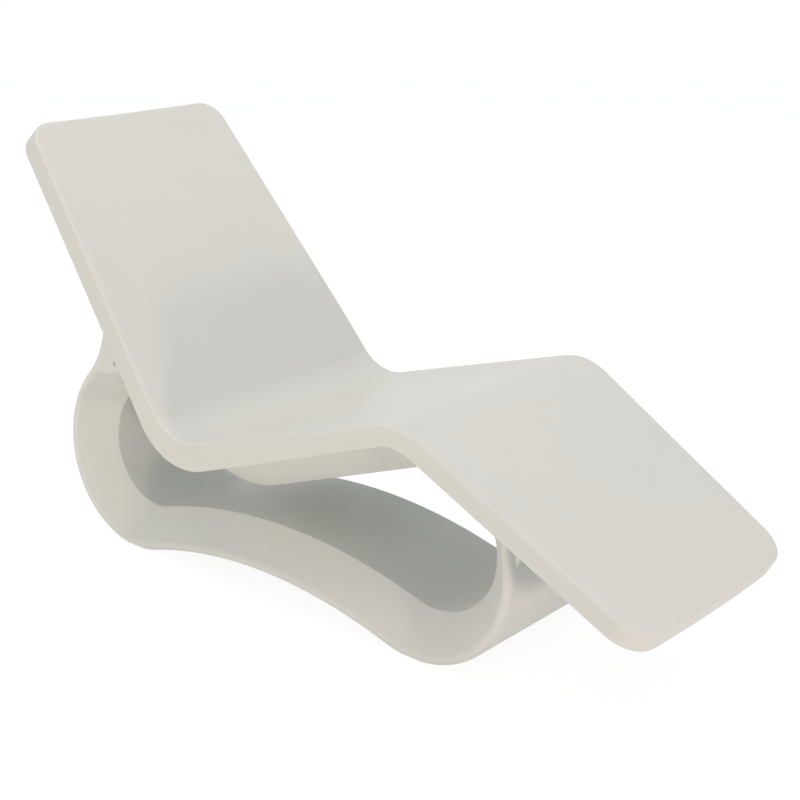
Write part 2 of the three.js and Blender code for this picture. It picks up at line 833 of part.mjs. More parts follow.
// Pads and their recesses share one place each.
const padPlaces = [];
for (const [end, lobe] of [
  ['rear', rearLobe],
  ['front', frontLobe],
]) {
  for (const [hand, side] of [
    ['right', -1],
    ['left', 1],
  ]) {
    const y = side * (baseWidth / 2 - padInset);
    padPlaces.push({ name: `${end}_${hand}_foot_pad`, at: new THREE.Vector3(lobe.x, y, 0) });
  }
}

let loop = solidOf(loopGeometry());
loop = loop.add(solidOf(webGeometry(-1)));
loop = loop.add(solidOf(webGeometry(1)));
const recess = padGeometry(padRadius + seatingGap, padThickness + seatingGap, 0);
for (const place of padPlaces) {
  loop = loop.subtract(solidOf(recess, new THREE.Matrix4().setPosition(place.at)));
}
const drill = new THREE.CylinderGeometry(ventRadius, ventRadius, ventDepth * 2, ventSides);
const drillMesh = new THREE.Object3D();
standAt(drillMesh, ventSeat, ventAxis);
drillMesh.updateMatrix();
loop = loop.subtract(solidOf(drill, drillMesh.matrix));

const base = new THREE.Mesh(geometryOf(loop), basePlastic);
base.name = 'loop_base';
lounger.add(base);

const plug = new THREE.Mesh(ventPlugGeometry(), plugRubber);
plug.name = 'vent_plug';
standAt(plug, ventSeat, ventAxis);
lounger.add(plug);

for (const place of padPlaces) {
  const pad = new THREE.Mesh(padGeometry(padRadius, padThickness, padProud), padRubber);
  pad.name = place.name;
  pad.position.copy(place.at);
  lounger.add(pad);
}

// The origin goes under the middle of the part's length, on the floor.
lounger.updateMatrixWorld(true);
const extent = new THREE.Box3().setFromObject(lounger, true);
lounger.position.x = -(extent.min.x + extent.max.x) / 2;

export default lounger;
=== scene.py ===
"""Sun lounger: looks of its moulded shell and loop base, its plug and pads, and a plain studio."""

import math
from types import SimpleNamespace

import bmesh
import bpy
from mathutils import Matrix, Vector


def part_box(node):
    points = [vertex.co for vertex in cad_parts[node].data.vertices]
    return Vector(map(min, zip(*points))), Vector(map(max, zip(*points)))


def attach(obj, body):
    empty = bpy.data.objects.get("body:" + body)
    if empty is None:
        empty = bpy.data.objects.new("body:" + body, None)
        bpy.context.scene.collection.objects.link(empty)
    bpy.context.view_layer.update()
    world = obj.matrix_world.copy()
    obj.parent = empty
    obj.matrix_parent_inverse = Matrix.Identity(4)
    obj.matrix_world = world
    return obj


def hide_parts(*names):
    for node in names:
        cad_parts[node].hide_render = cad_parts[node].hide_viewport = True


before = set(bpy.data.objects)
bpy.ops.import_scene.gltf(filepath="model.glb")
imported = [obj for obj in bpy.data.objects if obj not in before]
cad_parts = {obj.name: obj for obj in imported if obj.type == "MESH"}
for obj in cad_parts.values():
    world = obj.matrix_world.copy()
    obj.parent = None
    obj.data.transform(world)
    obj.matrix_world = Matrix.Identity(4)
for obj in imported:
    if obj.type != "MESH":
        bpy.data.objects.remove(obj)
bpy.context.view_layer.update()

bl_info = {
    "name": "Sun lounger",
    "version": (1, 0, 0),
    "blender": (4, 5, 0),
    "location": "View3D > Sidebar > Lounger",
    "description": "Models a moulded plastic sun lounger and the studio it stands in",
    "category": "Add Mesh",
}

PLUG = "vent_plug"
PADS = (
    "rear_right_foot_pad",
    "rear_left_foot_pad",
    "front_right_foot_pad",
    "front_left_foot_pad",
)
QUARTER = math.pi / 2

# In metres: points this close are merged, count as one place, or are moved together.
MERGE = 0.00005
SAME_PLACE = 0.00001
LEVEL = 0.00003

# The shell: rows of faces along each stretch, and steps round its edges.
CORNER_ROWS = 8
BACK_ROWS = 26
SEAT_BEND_ROWS = 24
SEAT_ROWS = 16
KNEE_BEND_ROWS = 18
LEG_ROWS = 14
UPPER_EDGE_STEPS = 7
LOWER_EDGE_STEPS = 4

# The loop base: stations along each stretch of the loop, and points round its section's edges.
SWEEP_STATIONS = 20
BACK_STATIONS = 14
HIP_STATIONS = 22
SEAT_STATIONS = 10
KNEE_STATIONS = 18
LEG_STATIONS = 8
ARCH_STATIONS = 20
NOSE_STEPS = 5
OUTER_STEPS = 7
# Share of its turn that the tunnel has made at the blunt tip, and at the end of the knee bend.
TIP_SHARE = 0.62
KNEE_SHARE = 0.6

HALVINGS = 60  # that settle the arch's radius
ROUND_SIDES = 48  # of a round cutter
LEVEL_FACE = 0.9  # least upward or downward part of a level face's normal
SHELL_CREASE = math.radians(40)  # edges that turn by more stay sharp
BASE_CREASE = math.radians(30)
NORMAL_WEIGHT = 60  # how far the large faces set the normals

SHELL_MOTTLING = 0.016
BASE_MOTTLING = 0.020
PLUG_TOOTH = (0.0006, 0.00003)  # size and depth of the rubber's grain
PAD_TOOTH = (0.0012, 0.00010)


# Sizes and colours a user would change.


def length(name, default, description):
    return bpy.props.FloatProperty(
        name=name,
        description=description,
        default=default,
        min=0.0,
        unit="LENGTH",
        subtype="DISTANCE",
    )


def angle(name, degrees, description):
    return bpy.props.FloatProperty(
        name=name,
        description=description,
        default=math.radians(degrees),
        unit="ROTATION",
        subtype="ANGLE",
    )


def count(name, default, description):
    return bpy.props.IntProperty(name=name, description=description, default=default, min=1)


def factor(name, default, description):
    return bpy.props.FloatProperty(
        name=name, description=description, default=default, min=0.0, subtype="FACTOR"
    )


def power(name, default, description):
    return bpy.props.FloatProperty(
        name=name, description=description, default=default, min=0.0, unit="POWER"
    )


def colour(name, default, description):
    return bpy.props.FloatVectorProperty(
        name=name, description=description, default=default, size=3, subtype="COLOR"
    )


class LoungerShellSizes(bpy.types.PropertyGroup):
    """Sizes of the lounging shell."""

    back_length: length("Back length", 0.7908, "Back, from the head end to the seat corner")
    seat_length: length("Seat length", 0.634, "Seat, from the seat corner to the knee corner")
    leg_length: length("Leg rest length", 0.5903, "Leg rest, from the knee corner to the foot end")
    back_angle: angle("Back angle", 51.4, "Slope of the back above the floor")
    seat_angle: angle("Seat angle", 16.4, "Rise of the seat towards the knees")
    leg_angle: angle("Leg rest angle", 29.5, "Fall of the leg rest towards the feet")
    corner_height: length("Seat corner height", 0.3493, "Where back and seat would cross")
    seat_radius: length("Seat bend radius", 0.110, "Top surface, hollow side")
    knee_radius: length("Knee bend radius", 0.137, "Top surface, round side")
    head_width: length("Head width", 0.549, "Width over the head end")
    hip_width: length("Hip width", 0.6778, "Width at the seat bend")
    knee_width: length("Knee width", 0.6105, "Width at the knee bend")
    foot_width: length("Foot width", 0.520, "Width over the foot end")
    hip_blend: length("Hip blend", 0.200, "Run over which the taper changes at the hip")
    knee_blend: length("Knee blend", 0.090, "Run over which the taper changes at the knee")
    back_thickness: length("Back thickness", 0.054, "Depth of the side along the back")
    hip_thickness: length("Hip thickness", 0.064, "Depth of the side at the seat bend")
    knee_thickness: length("Knee thickness", 0.0405, "Depth of the side at the knee")
    leg_thickness: length("Leg rest thickness", 0.0465, "Depth of the side along the leg rest")
    hip_swell: length("Hip swell", 0.220, "Run over which the back thickens to the hip")
    head_corner: length("Head corner radius", 0.053, "Plan corners of the head end")
    foot_corner: length("Foot corner radius", 0.062, "Plan corners of the foot end")
    foot_bow: length("Foot end bow", 0.006, "Bulge of the foot end between its corners")
    upper_edge: length("Upper edge radius", 0.0065, "Rounding of the rim")
    lower_edge: length("Lower edge radius", 0.005, "Rounding below")
    head_sag: length("Head sag", 0.005, "Dip in the middle of the head end")
    head_sag_reach: length("Head sag reach", 0.150, "Run over which the dip fades out")
    back_dish: length("Back dish", 0.007, "Depth of the dish along the back")
    seat_dish: length("Seat dish", 0.010, "Depth of the dish in the seat")
    leg_dish: length("Leg rest dish", 0.005, "Depth of the dish along the leg rest")
    rim_width: length("Rim width", 0.090, "Width over which the dish rises to the rim")
    columns: count("Columns", 36, "Faces across the shell")


class LoungerBaseSizes(bpy.types.PropertyGroup):
    """Sizes of the loop base."""

    band: length("Band", 0.085, "Thickness of the band in side view")
    front_band: length("Front band", 0.087, "Thickness of the band round the front lobe")
    rear_radius: length("Rear lobe radius", 0.215, "Outer radius of the rear lobe")
    front_radius: length("Front lobe radius", 0.24025, "Outer radius of the front lobe")
    ceiling_radius: length("Front ceiling radius", 0.14725, "Tunnel's ceiling over the front lobe")
    rear_offset: length("Rear lobe offset", 0.277, "Rear lobe's centre, behind the seat corner")
    spacing: length("Lobe spacing", 0.845, "From the rear lobe's centre to the front lobe's")
    arch_rise: length("Arch rise", 0.061, "Height of the arch under the loop, above the soles")
    sole: length("Sole length", 0.056, "Flat length on which each lobe stands")
    shoulder_radius: length("Shoulder radius", 0.259, "Opening of the rear lobe above its centre")
    shoulder_turn: angle("Shoulder turn", 45.0, "Turn of the shoulder")
    hip_depth: length("Hip depth", 0.143, "From the top surface to the tunnel at the seat bend")
    tip: length("Tip thickness", 0.009, "Blunt tip where the loop runs out along the back")
    width: length("Width", 0.443, "Over the flat sides")
    tunnel_width: length("Tunnel width", 0.294, "Between the inner edges of the side faces")
    edge_radius: length("Edge radius", 0.012, "Rounding of the outer edges")
    inner_edge: length("Inner edge", 0.0014, "Flat that breaks the tunnel's sharp edge")
    neck_line: length("Neck line", 0.430, "Height to which the bevel reaches on the neck")
    neck_band: length("Neck band", 0.070, "Least depth of the bevel on the neck")
    front_draw: length("Front draw", 0.015, "Each side draws in by this under the knee")
    front_draw_turn: angle("Front draw turn", 40.0, "Turn of the front lobe that takes it up")
    leave_angle: angle("Leave angle", 39.19, "Where the front lobe leaves the leg rest")
    sole_height: length("Sole height", 0.0015, "Soles above the floor, on their pads")
    seat_gap: length("Seat gap", 0.0003, "Between the base and the shell that lies on it")
    web_thickness: length("Web thickness", 0.012, "Webs under the leg rest")
    web_inset: length("Web inset", 0.017, "Web's outer face, in from the base's side")
    web_drop: length("Web drop", 0.027, "Web's lower tip, above the front lobe's centre")
    web_reach: length("Web reach", 0.042, "Web's upper corner, ahead of its lower tip")
    web_round: length("Web rounding", 0.0015, "Rounding of the webs' edges")
    arc_step: angle("Arc step", 3.0, "Turn of each face round the lobes")


class LoungerFinish(bpy.types.PropertyGroup):
    """Colours and surface of the plastic, plug and pads."""

    shell_colour: colour("Shell colour", (0.715, 0.705, 0.665), "Plastic of the shell")
    # The base's plastic is set lighter than the shell's. Part of this is its own tone, and part is
    # painted light that makes up for the shade it lies in under the shell.
    base_colour_with_painted_light: colour("Base colour", (0.742, 0.740, 0.702), "Plastic of the loop base")
    plug_colour: colour("Plug colour", (0.510, 0.510, 0.475), "Vent plug")
    pad_colour: colour("Pad colour", (0.215, 0.215, 0.205), "Foot pads")
    roughness: factor("Roughness", 0.48, "Roughness of the plastic")
    grain_size: length("Grain size", 0.0022, "Size of the moulded grain")
    grain_depth: length("Grain depth", 0.00006, "Depth of the moulded grain")


class LoungerStage(bpy.types.PropertyGroup):
    """Camera and light."""

    camera: bpy.props.FloatVectorProperty(
        name="Camera",
        description="Where the camera stands",
        default=(2.0366, -2.2886, 1.4465),
        size=3,
        unit="LENGTH",
        subtype="TRANSLATION",
    )
    camera_turn: angle("Camera turn", 40.89, "Heading of the camera, from +Y towards -X")
    camera_drop: angle("Camera drop", 18.35, "How far the camera looks down")
    lens: bpy.props.FloatProperty(
        name="Lens", description="Focal length in millimetres", default=68.68, min=1.0
    )
    world_colour: colour("World colour", (0.805, 0.90, 0.99), "Light from all round")
    world_strength: factor("World strength", 0.58, "Strength of the light from all round")
    above_colour: colour("Light above, colour", (1.00, 0.87, 0.75), "Large soft light above")
    above_power: power("Light above", 73.0, "Power of the large soft light above")
    front_colour: colour("Front light, colour", (1.00, 0.78, 0.62), "Low light before the feet")
    front_power: power("Front light", 23.7, "Power of the low light before the feet")
    side_colour: colour("Side light, colour", (1.00, 0.78, 0.53), "Low light beside the head")
    side_power: power("Side light", 27.7, "Power of the low light beside the head")


# Plane geometry of the side view.


def heading(turn):
    return Vector((math.cos(turn), math.sin(turn)))


def left_of(direction):
    return Vector((-direction.y, direction.x))


def on_arc(centre, radius, turn):
    return centre + heading(turn) * radius


def mix(a, b, share):
    return a + (b - a) * share


def smooth(share):
    share = min(1.0, max(0.0, share))
    return share * share * (3 - 2 * share)


def steps(start, end, number, last=False):
    """Evenly spaced values from start, with or without the end."""
    return [mix(start, end, i / number) for i in range(number + (1 if last else 0))]


def shell_path(s):
    """Where the runs and bends of the lounging surface start, and how each is placed."""
    p = SimpleNamespace()
    p.back_down = heading(-s.back_angle)
    p.seat_up = heading(s.seat_angle)
    p.leg_down = heading(-s.leg_angle)
    p.corner = Vector((0.0, s.corner_height))
    p.head = p.corner - p.back_down * s.back_length
    p.knee = p.corner + p.seat_up * s.seat_length
    p.seat_bend = s.back_angle + s.seat_angle
    p.knee_bend = s.seat_angle + s.leg_angle
    p.seat_tangent = s.seat_radius * math.tan(p.seat_bend / 2)
    p.knee_tangent = s.knee_radius * math.tan(p.knee_bend / 2)
    p.seat_start = s.back_length - p.seat_tangent
    p.seat_end = p.seat_start + s.seat_radius * p.seat_bend
    p.knee_start = p.seat_end + s.seat_length - p.seat_tangent - p.knee_tangent
    p.knee_end = p.knee_start + s.knee_radius * p.knee_bend
    p.length = p.knee_end + s.leg_length - p.knee_tangent
    p.hip = (p.seat_start + p.seat_end) / 2
    p.knee_middle = (p.knee_start + p.knee_end) / 2
    p.seat_centre = (
        p.corner - p.back_down * p.seat_tangent + left_of(p.back_down) * s.seat_radius
    )
    p.knee_centre = (
        p.knee - p.seat_up * p.knee_tangent - left_of(p.seat_up) * s.knee_radius
    )
    return p


def path_at(s, p, run):
    """Point of the top surface at a run along it, and the direction square to it."""
    if run <= p.seat_start:
        return p.head + p.back_down * run, left_of(p.back_down)
    if run < p.seat_end:
        up = left_of(heading((run - p.seat_start) / s.seat_radius - s.back_angle))
        return p.seat_centre - up * s.seat_radius, up
    if run <= p.knee_start:
        at = p.corner + p.seat_up * (p.seat_tangent + run - p.seat_end)
        return at, left_of(p.seat_up)
    if run < p.knee_end:
        up = left_of(heading(s.seat_angle - (run - p.knee_start) / s.knee_radius))
        return p.knee_centre + up * s.knee_radius, up
    return p.knee + p.leg_down * (p.knee_tangent + run - p.knee_end), left_of(p.leg_down)


def spread(run, station, blend):
    """A change of taper at a station, spread over a blend to both sides."""
    past = run - station
    if past <= -blend:
        return 0.0
    if past >= blend:
        return past
    return (past + blend) ** 2 / (4 * blend)


def half_width(s, p, run):
    back = (s.hip_width - s.head_width) / p.hip
    seat = (s.knee_width - s.hip_width) / (p.knee_middle - p.hip)
    leg = (s.foot_width - s.knee_width) / (p.length - p.knee_middle)
    width = s.head_width + back * run
    width += (seat - back) * spread(run, p.hip, s.hip_blend)
    width += (leg - seat) * spread(run, p.knee_middle, s.knee_blend)
    return width / 2


def dish_depth(s, p, run):
    if run < p.hip:
        return mix(s.back_dish, s.seat_dish, smooth(run / p.hip))
    share = (run - p.hip) / (p.knee_middle - p.hip)
    return mix(s.seat_dish, s.leg_dish, smooth(share))


def thickness(s, p, run):
    if run < p.hip:
        share = smooth(1 - (p.hip - run) / s.hip_swell)
        return mix(s.back_thickness, s.hip_thickness, share)
    if run < p.knee_start:
        share = (run - p.hip) / (p.knee_start - p.hip)
        return mix(s.hip_thickness, s.knee_thickness, share)
    share = (run - p.knee_start) / (p.knee_end - p.knee_start)
    return mix(s.knee_thickness, s.leg_thickness, smooth(share))


# Edit mode by hand: select in code, then let an operator do the work.


def start_piece(name):
    """Names the new primitive and opens it in edit mode, in vertex mode."""
    obj = bpy.context.object
    obj.name = obj.data.name = name
    bpy.ops.object.mode_set(mode="EDIT")
    bpy.ops.mesh.select_mode(type="VERT")
    return obj


def choose(obj, test):
    """Selects the vertices that pass the test, and the edges and faces between them."""
    bm = bmesh.from_edit_mesh(obj.data)
    for v in bm.verts:
        v.select = test(v)
    bm.select_flush_mode()


def choose_only(obj, chosen):
    """Selects these vertices, with the edges between them, and nothing else."""
    bpy.ops.mesh.select_all(action="DESELECT")
    for v in chosen:
        v.select = True
    bmesh.from_edit_mesh(obj.data).select_flush_mode()


def ease(obj, amount_at, direction):
    """Moves the points along a direction, each by its own amount, equal amounts together."""
    levels = {}
    bm = bmesh.from_edit_mesh(obj.data)
    for v in bm.verts:
        level = round(amount_at(v.co) / LEVEL)
        if level:
            levels.setdefault(level, []).append(v)
    for level, chosen in levels.items():
        choose_only(obj, chosen)
        bpy.ops.transform.translate(value=direction * level * LEVEL)


def choose_faces(obj, test):
    """Selects the faces that pass the test, in face mode."""
    bpy.ops.mesh.select_mode(type="FACE")
    bm = bmesh.from_edit_mesh(obj.data)
    for f in bm.faces:
        f.select = test(f)
    bm.select_flush_mode()


def move(x=0.0, y=0.0, z=0.0):
    bpy.ops.transform.translate(value=(x, y, z))


def scale(x, y, z, about=(0.0, 0.0, 0.0)):
    bpy.ops.transform.resize(value=(x, y, z), center_override=about)


def turn_up(turn, about):
    """Turns the selection about the Y axis: with no window, a positive turn takes +X to +Z."""
    bpy.ops.transform.rotate(value=turn, orient_axis="Y", center_override=about)


def cut_across(x, threshold=MERGE):
    bpy.ops.mesh.bisect(
        plane_co=(x, 0.0, 0.0), plane_no=(1.0, 0.0, 0.0), threshold=threshold
    )


def round_over(radius, number):
    """Rounds the edge of the selected flat face: insets that each rise less and reach further."""
    for i in range(number):
        here, there = QUARTER * i / number, QUARTER * (i + 1) / number
        bpy.ops.mesh.inset(
            thickness=radius * (math.cos(here) - math.cos(there)),
            depth=radius * (math.sin(there) - math.sin(here)),
            use_even_offset=True,
            use_boundary=True,
        )


def close_up():
    """Merges doubles, turns the faces outwards and leaves edit mode."""
    bpy.ops.mesh.select_mode(type="VERT")
    bpy.ops.mesh.select_all(action="SELECT")
    bpy.ops.mesh.remove_doubles(threshold=MERGE)
    bpy.ops.mesh.normals_make_consistent(inside=False)
    bpy.ops.object.mode_set(mode="OBJECT")


def select_only(obj):
    bpy.ops.object.select_all(action="DESELECT")
    bpy.context.view_layer.objects.active = obj
    obj.select_set(True)


def apply_all(obj):
    select_only(obj)
    for modifier in list(obj.modifiers):
        bpy.ops.object.modifier_apply(modifier=modifier.name)


# The lounging shell: a flat slab with rounded edges, dished, then bent at the seat and the knee.


def bend_runs(start, radius, turn, number):
    """Rows of a bend, each one chord further on, so that turning them row by row fits the arc."""
    chord = 2 * radius * math.sin(turn / number / 2)
    return [start + chord * i for i in range(number + 1)]


def shell_rows(s, p):
    """Rows of the rolled-out slab as (place along it, run along the real path)."""
    corner_turns = steps(0, QUARTER, CORNER_ROWS, last=True)
    head = [s.head_corner * (1 - math.cos(turn)) for turn in corner_turns[:-1]]
    head += steps(s.head_corner, p.seat_start, BACK_ROWS)
    rows = [(x, x) for x in head]
    here = p.seat_start
    for first, last, radius, turn, number, after, number_after in (
        (
            p.seat_start,
            p.seat_end,
            s.seat_radius,
            p.seat_bend,
            SEAT_BEND_ROWS,
            p.knee_start,
            SEAT_ROWS,
        ),
        (
            p.knee_start,
            p.knee_end,
            s.knee_radius,
            p.knee_bend,
            KNEE_BEND_ROWS,
            p.length,
            LEG_ROWS,
        ),
    ):
        flat = bend_runs(here, radius, turn, number)
        real = steps(first, last, number, last=True)
        rows += list(zip(flat, real))[:-1]
        shift = last - flat[-1]
        stop = after - (s.foot_corner if after == p.length else 0.0)
        rows += [(run - shift, run) for run in steps(last, stop, number_after)]
        here = after - shift
    foot = [p.length - s.foot_corner * (1 - math.sin(turn)) for turn in corner_turns]
    rows += [(x - p.length + here, x) for x in foot]
    return rows


def outline_half(s, p, run):
    """Half width of the plan outline, with its rounded corners."""
    half = half_width(s, p, run)
    for from_end, radius in ((run, s.head_corner), (p.length - run, s.foot_corner)):
        if from_end < radius:
            half -= radius - math.sqrt(max(0.0, radius**2 - (radius - from_end) ** 2))
    return half


def lay_out_slab(s, p, rows):
    """A plane cut into rows, each drawn in to the outline, then raised to a slab."""
    bpy.ops.mesh.primitive_plane_add(size=1)
    obj = start_piece("lounging_shell_skin")
    end = rows[-1][0]
    bpy.ops.mesh.select_all(action="SELECT")
    scale(end, 2.0, 1.0)
    move(x=end / 2)
    for x, _ in rows[1:-1]:
        bpy.ops.mesh.select_all(action="SELECT")
        cut_across(x)
    for x, run in rows:
        choose(obj, lambda v: abs(v.co.x - x) < MERGE)
        scale(1.0, outline_half(s, p, run), 1.0)
    bpy.ops.mesh.select_all(action="SELECT")
    bpy.ops.mesh.dissolve_faces()
    bpy.ops.mesh.select_all(action="SELECT")
    move(z=-s.upper_edge)
    bpy.ops.mesh.select_mode(type="FACE")
    drop = s.back_thickness - s.upper_edge - s.lower_edge
    bpy.ops.mesh.select_all(action="SELECT")
    bpy.ops.mesh.extrude_region_move(TRANSFORM_OT_translate={"value": (0, 0, -drop)})
    bpy.ops.mesh.select_all(action="SELECT")
    bpy.ops.mesh.normals_make_consistent(inside=False)
    choose_faces(obj, lambda f: f.normal.z > LEVEL_FACE)
    round_over(s.upper_edge, UPPER_EDGE_STEPS)
    choose_faces(obj, lambda f: f.normal.z < -LEVEL_FACE and len(f.verts) > 4)
    round_over(s.lower_edge, LOWER_EDGE_STEPS)
    return obj


def row_the_faces(s, obj):
    """Rows across the top and the underside, at the corners that their outlines have."""
    for top in (True, False):
        level = 0.0 if top else -s.back_thickness
        choose_faces(obj, lambda f: abs(f.calc_center_median().z - level) < MERGE)
        bm = bmesh.from_edit_mesh(obj.data)
        corners = sorted({round(v.co.x, 6) for f in bm.faces if f.select for v in f.verts})
        places = [b for a, b in zip(corners, corners[1:]) if b - a > MERGE]
        for x in places[:-1]:
            choose_faces(obj, lambda f: abs(f.calc_center_median().z - level) < MERGE)
            cut_across(x)
    bpy.ops.mesh.select_mode(type="VERT")


def cut_columns(s, obj):
    """Every edge across the slab is cut into the same number of faces."""
    bpy.ops.mesh.select_mode(type="EDGE")
    bm = bmesh.from_edit_mesh(obj.data)
    for e in bm.edges:
        e.select = e.verts[0].co.y * e.verts[1].co.y < -MERGE * MERGE
    bpy.ops.mesh.subdivide(number_cuts=s.columns - 1)
    bpy.ops.mesh.select_mode(type="VERT")


def dish_the_top(s, p, obj, rows):
    """Presses the top down between its rims."""
    end = rows[-1][0]

    def pressed(co):
        if co.z < -SAME_PLACE:
            return 0.0
        from_end, radius = co.x, s.head_corner
        if co.x >= end / 2:
            from_end, radius = end - co.x, s.foot_corner
        run = run_of(rows, co.x)
        inside = half_width(s, p, run) - abs(co.y)
        reach = min(from_end, inside)
        if from_end < radius and inside < radius:
            reach = radius - math.hypot(radius - from_end, radius - inside)
        return -dish_depth(s, p, run) * smooth((reach - s.upper_edge) / s.rim_width)

    ease(obj, pressed, Vector((0.0, 0.0, 1.0)))


def run_of(rows, place):
    """Run along the real path of a place on the rolled-out slab."""
    for (a, run_a), (b, run_b) in zip(rows, rows[1:]):
        if a <= place <= b:
            return mix(run_a, run_b, (place - a) / (b - a))
    return rows[0][1] if place < rows[0][0] else rows[-1][1]


def draw_the_ends(s, obj, rows):
    """The head end dips in the middle, and the foot end bulges."""
    end = rows[-1][0]

    def dip(co):
        crown = 1 - (2 * co.y / s.head_width) ** 2
        return -s.head_sag * max(0.0, crown) * smooth(1 - co.x / s.head_sag_reach)

    def bulge(co):
        crown = 1 - (2 * co.y / s.foot_width) ** 2
        return s.foot_bow * max(0.0, crown) * smooth(1 - (end - co.x) / s.foot_corner)

    ease(obj, dip, Vector((0.0, 0.0, 1.0)))
    ease(obj, bulge, Vector((1.0, 0.0, 0.0)))


def deepen_the_sides(s, p, obj, rows):
    """Lowers the underside to the depth that the side has at each row."""
    middle = -(s.upper_edge + s.back_thickness - s.lower_edge) / 2

    def extra(co):
        if co.z > middle:
            return 0.0
        return s.back_thickness - thickness(s, p, run_of(rows, co.x))

    ease(obj, extra, Vector((0.0, 0.0, 1.0)))


def bend_the_slab(p, obj, rows):
    """Turns all that lies beyond each row of a bend, from the feet back to the hip."""
    for first, turn, number, sense in (
        (p.knee_start, p.knee_bend, KNEE_BEND_ROWS, -1),
        (p.seat_start, p.seat_bend, SEAT_BEND_ROWS, 1),
    ):
        runs = [x for x, run in rows if run > first - MERGE][: number + 1]
        bm = bmesh.from_edit_mesh(obj.data)
        waiting = sorted(bm.verts, key=lambda v: v.co.x)
        bpy.ops.mesh.select_all(action="DESELECT")
        for i, x in reversed(list(enumerate(runs))):
            share = 0.5 if i in (0, number) else 1.0
            while waiting and waiting[-1].co.x > x + MERGE:
                waiting.pop().select = True
            turn_up(sense * share * turn / number, (x, 0.0, 0.0))


def model_shell(s, shift):
    p = shell_path(s)
    rows = shell_rows(s, p)
    obj = lay_out_slab(s, p, rows)
    row_the_faces(s, obj)
    deepen_the_sides(s, p, obj, rows)
    cut_columns(s, obj)
    dish_the_top(s, p, obj, rows)
    draw_the_ends(s, obj, rows)
    bend_the_slab(p, obj, rows)
    bpy.ops.mesh.select_all(action="SELECT")
    turn_up(-s.back_angle, (0.0, 0.0, 0.0))
    bpy.ops.mesh.select_all(action="SELECT")
    move(x=p.head.x + shift, z=p.head.y)
    close_up()
    return obj


# The loop base: half of its section, carried round the loop and mirrored.


def lobe_centre(b, x, radius):
    return Vector((x, b.sole_height + math.sqrt(radius**2 - (b.sole / 2) ** 2)))


def arch_under(b, rear, front):
    """Radius and centre of the arc that touches both lobes and rises to the stated height."""
    rear_term = rear.y - b.arch_rise - b.sole_height
    front_term = front.y - b.arch_rise - b.sole_height
    low, high = b.front_radius, b.spacing**2 / b.arch_rise
    for _ in range(HALVINGS):
        radius = (low + high) / 2
        reach = math.sqrt((radius + b.rear_radius) ** 2 - (radius + rear_term) ** 2)
        total = reach + math.sqrt((radius + b.front_radius) ** 2 - (radius + front_term) ** 2)
        low, high = (radius, high) if total < b.spacing else (low, radius)
    return low, Vector((rear.x + reach, b.sole_height + b.arch_rise - low))


def turn_to(start, end):
    return math.atan2(end.y - start.y, end.x - start.x)


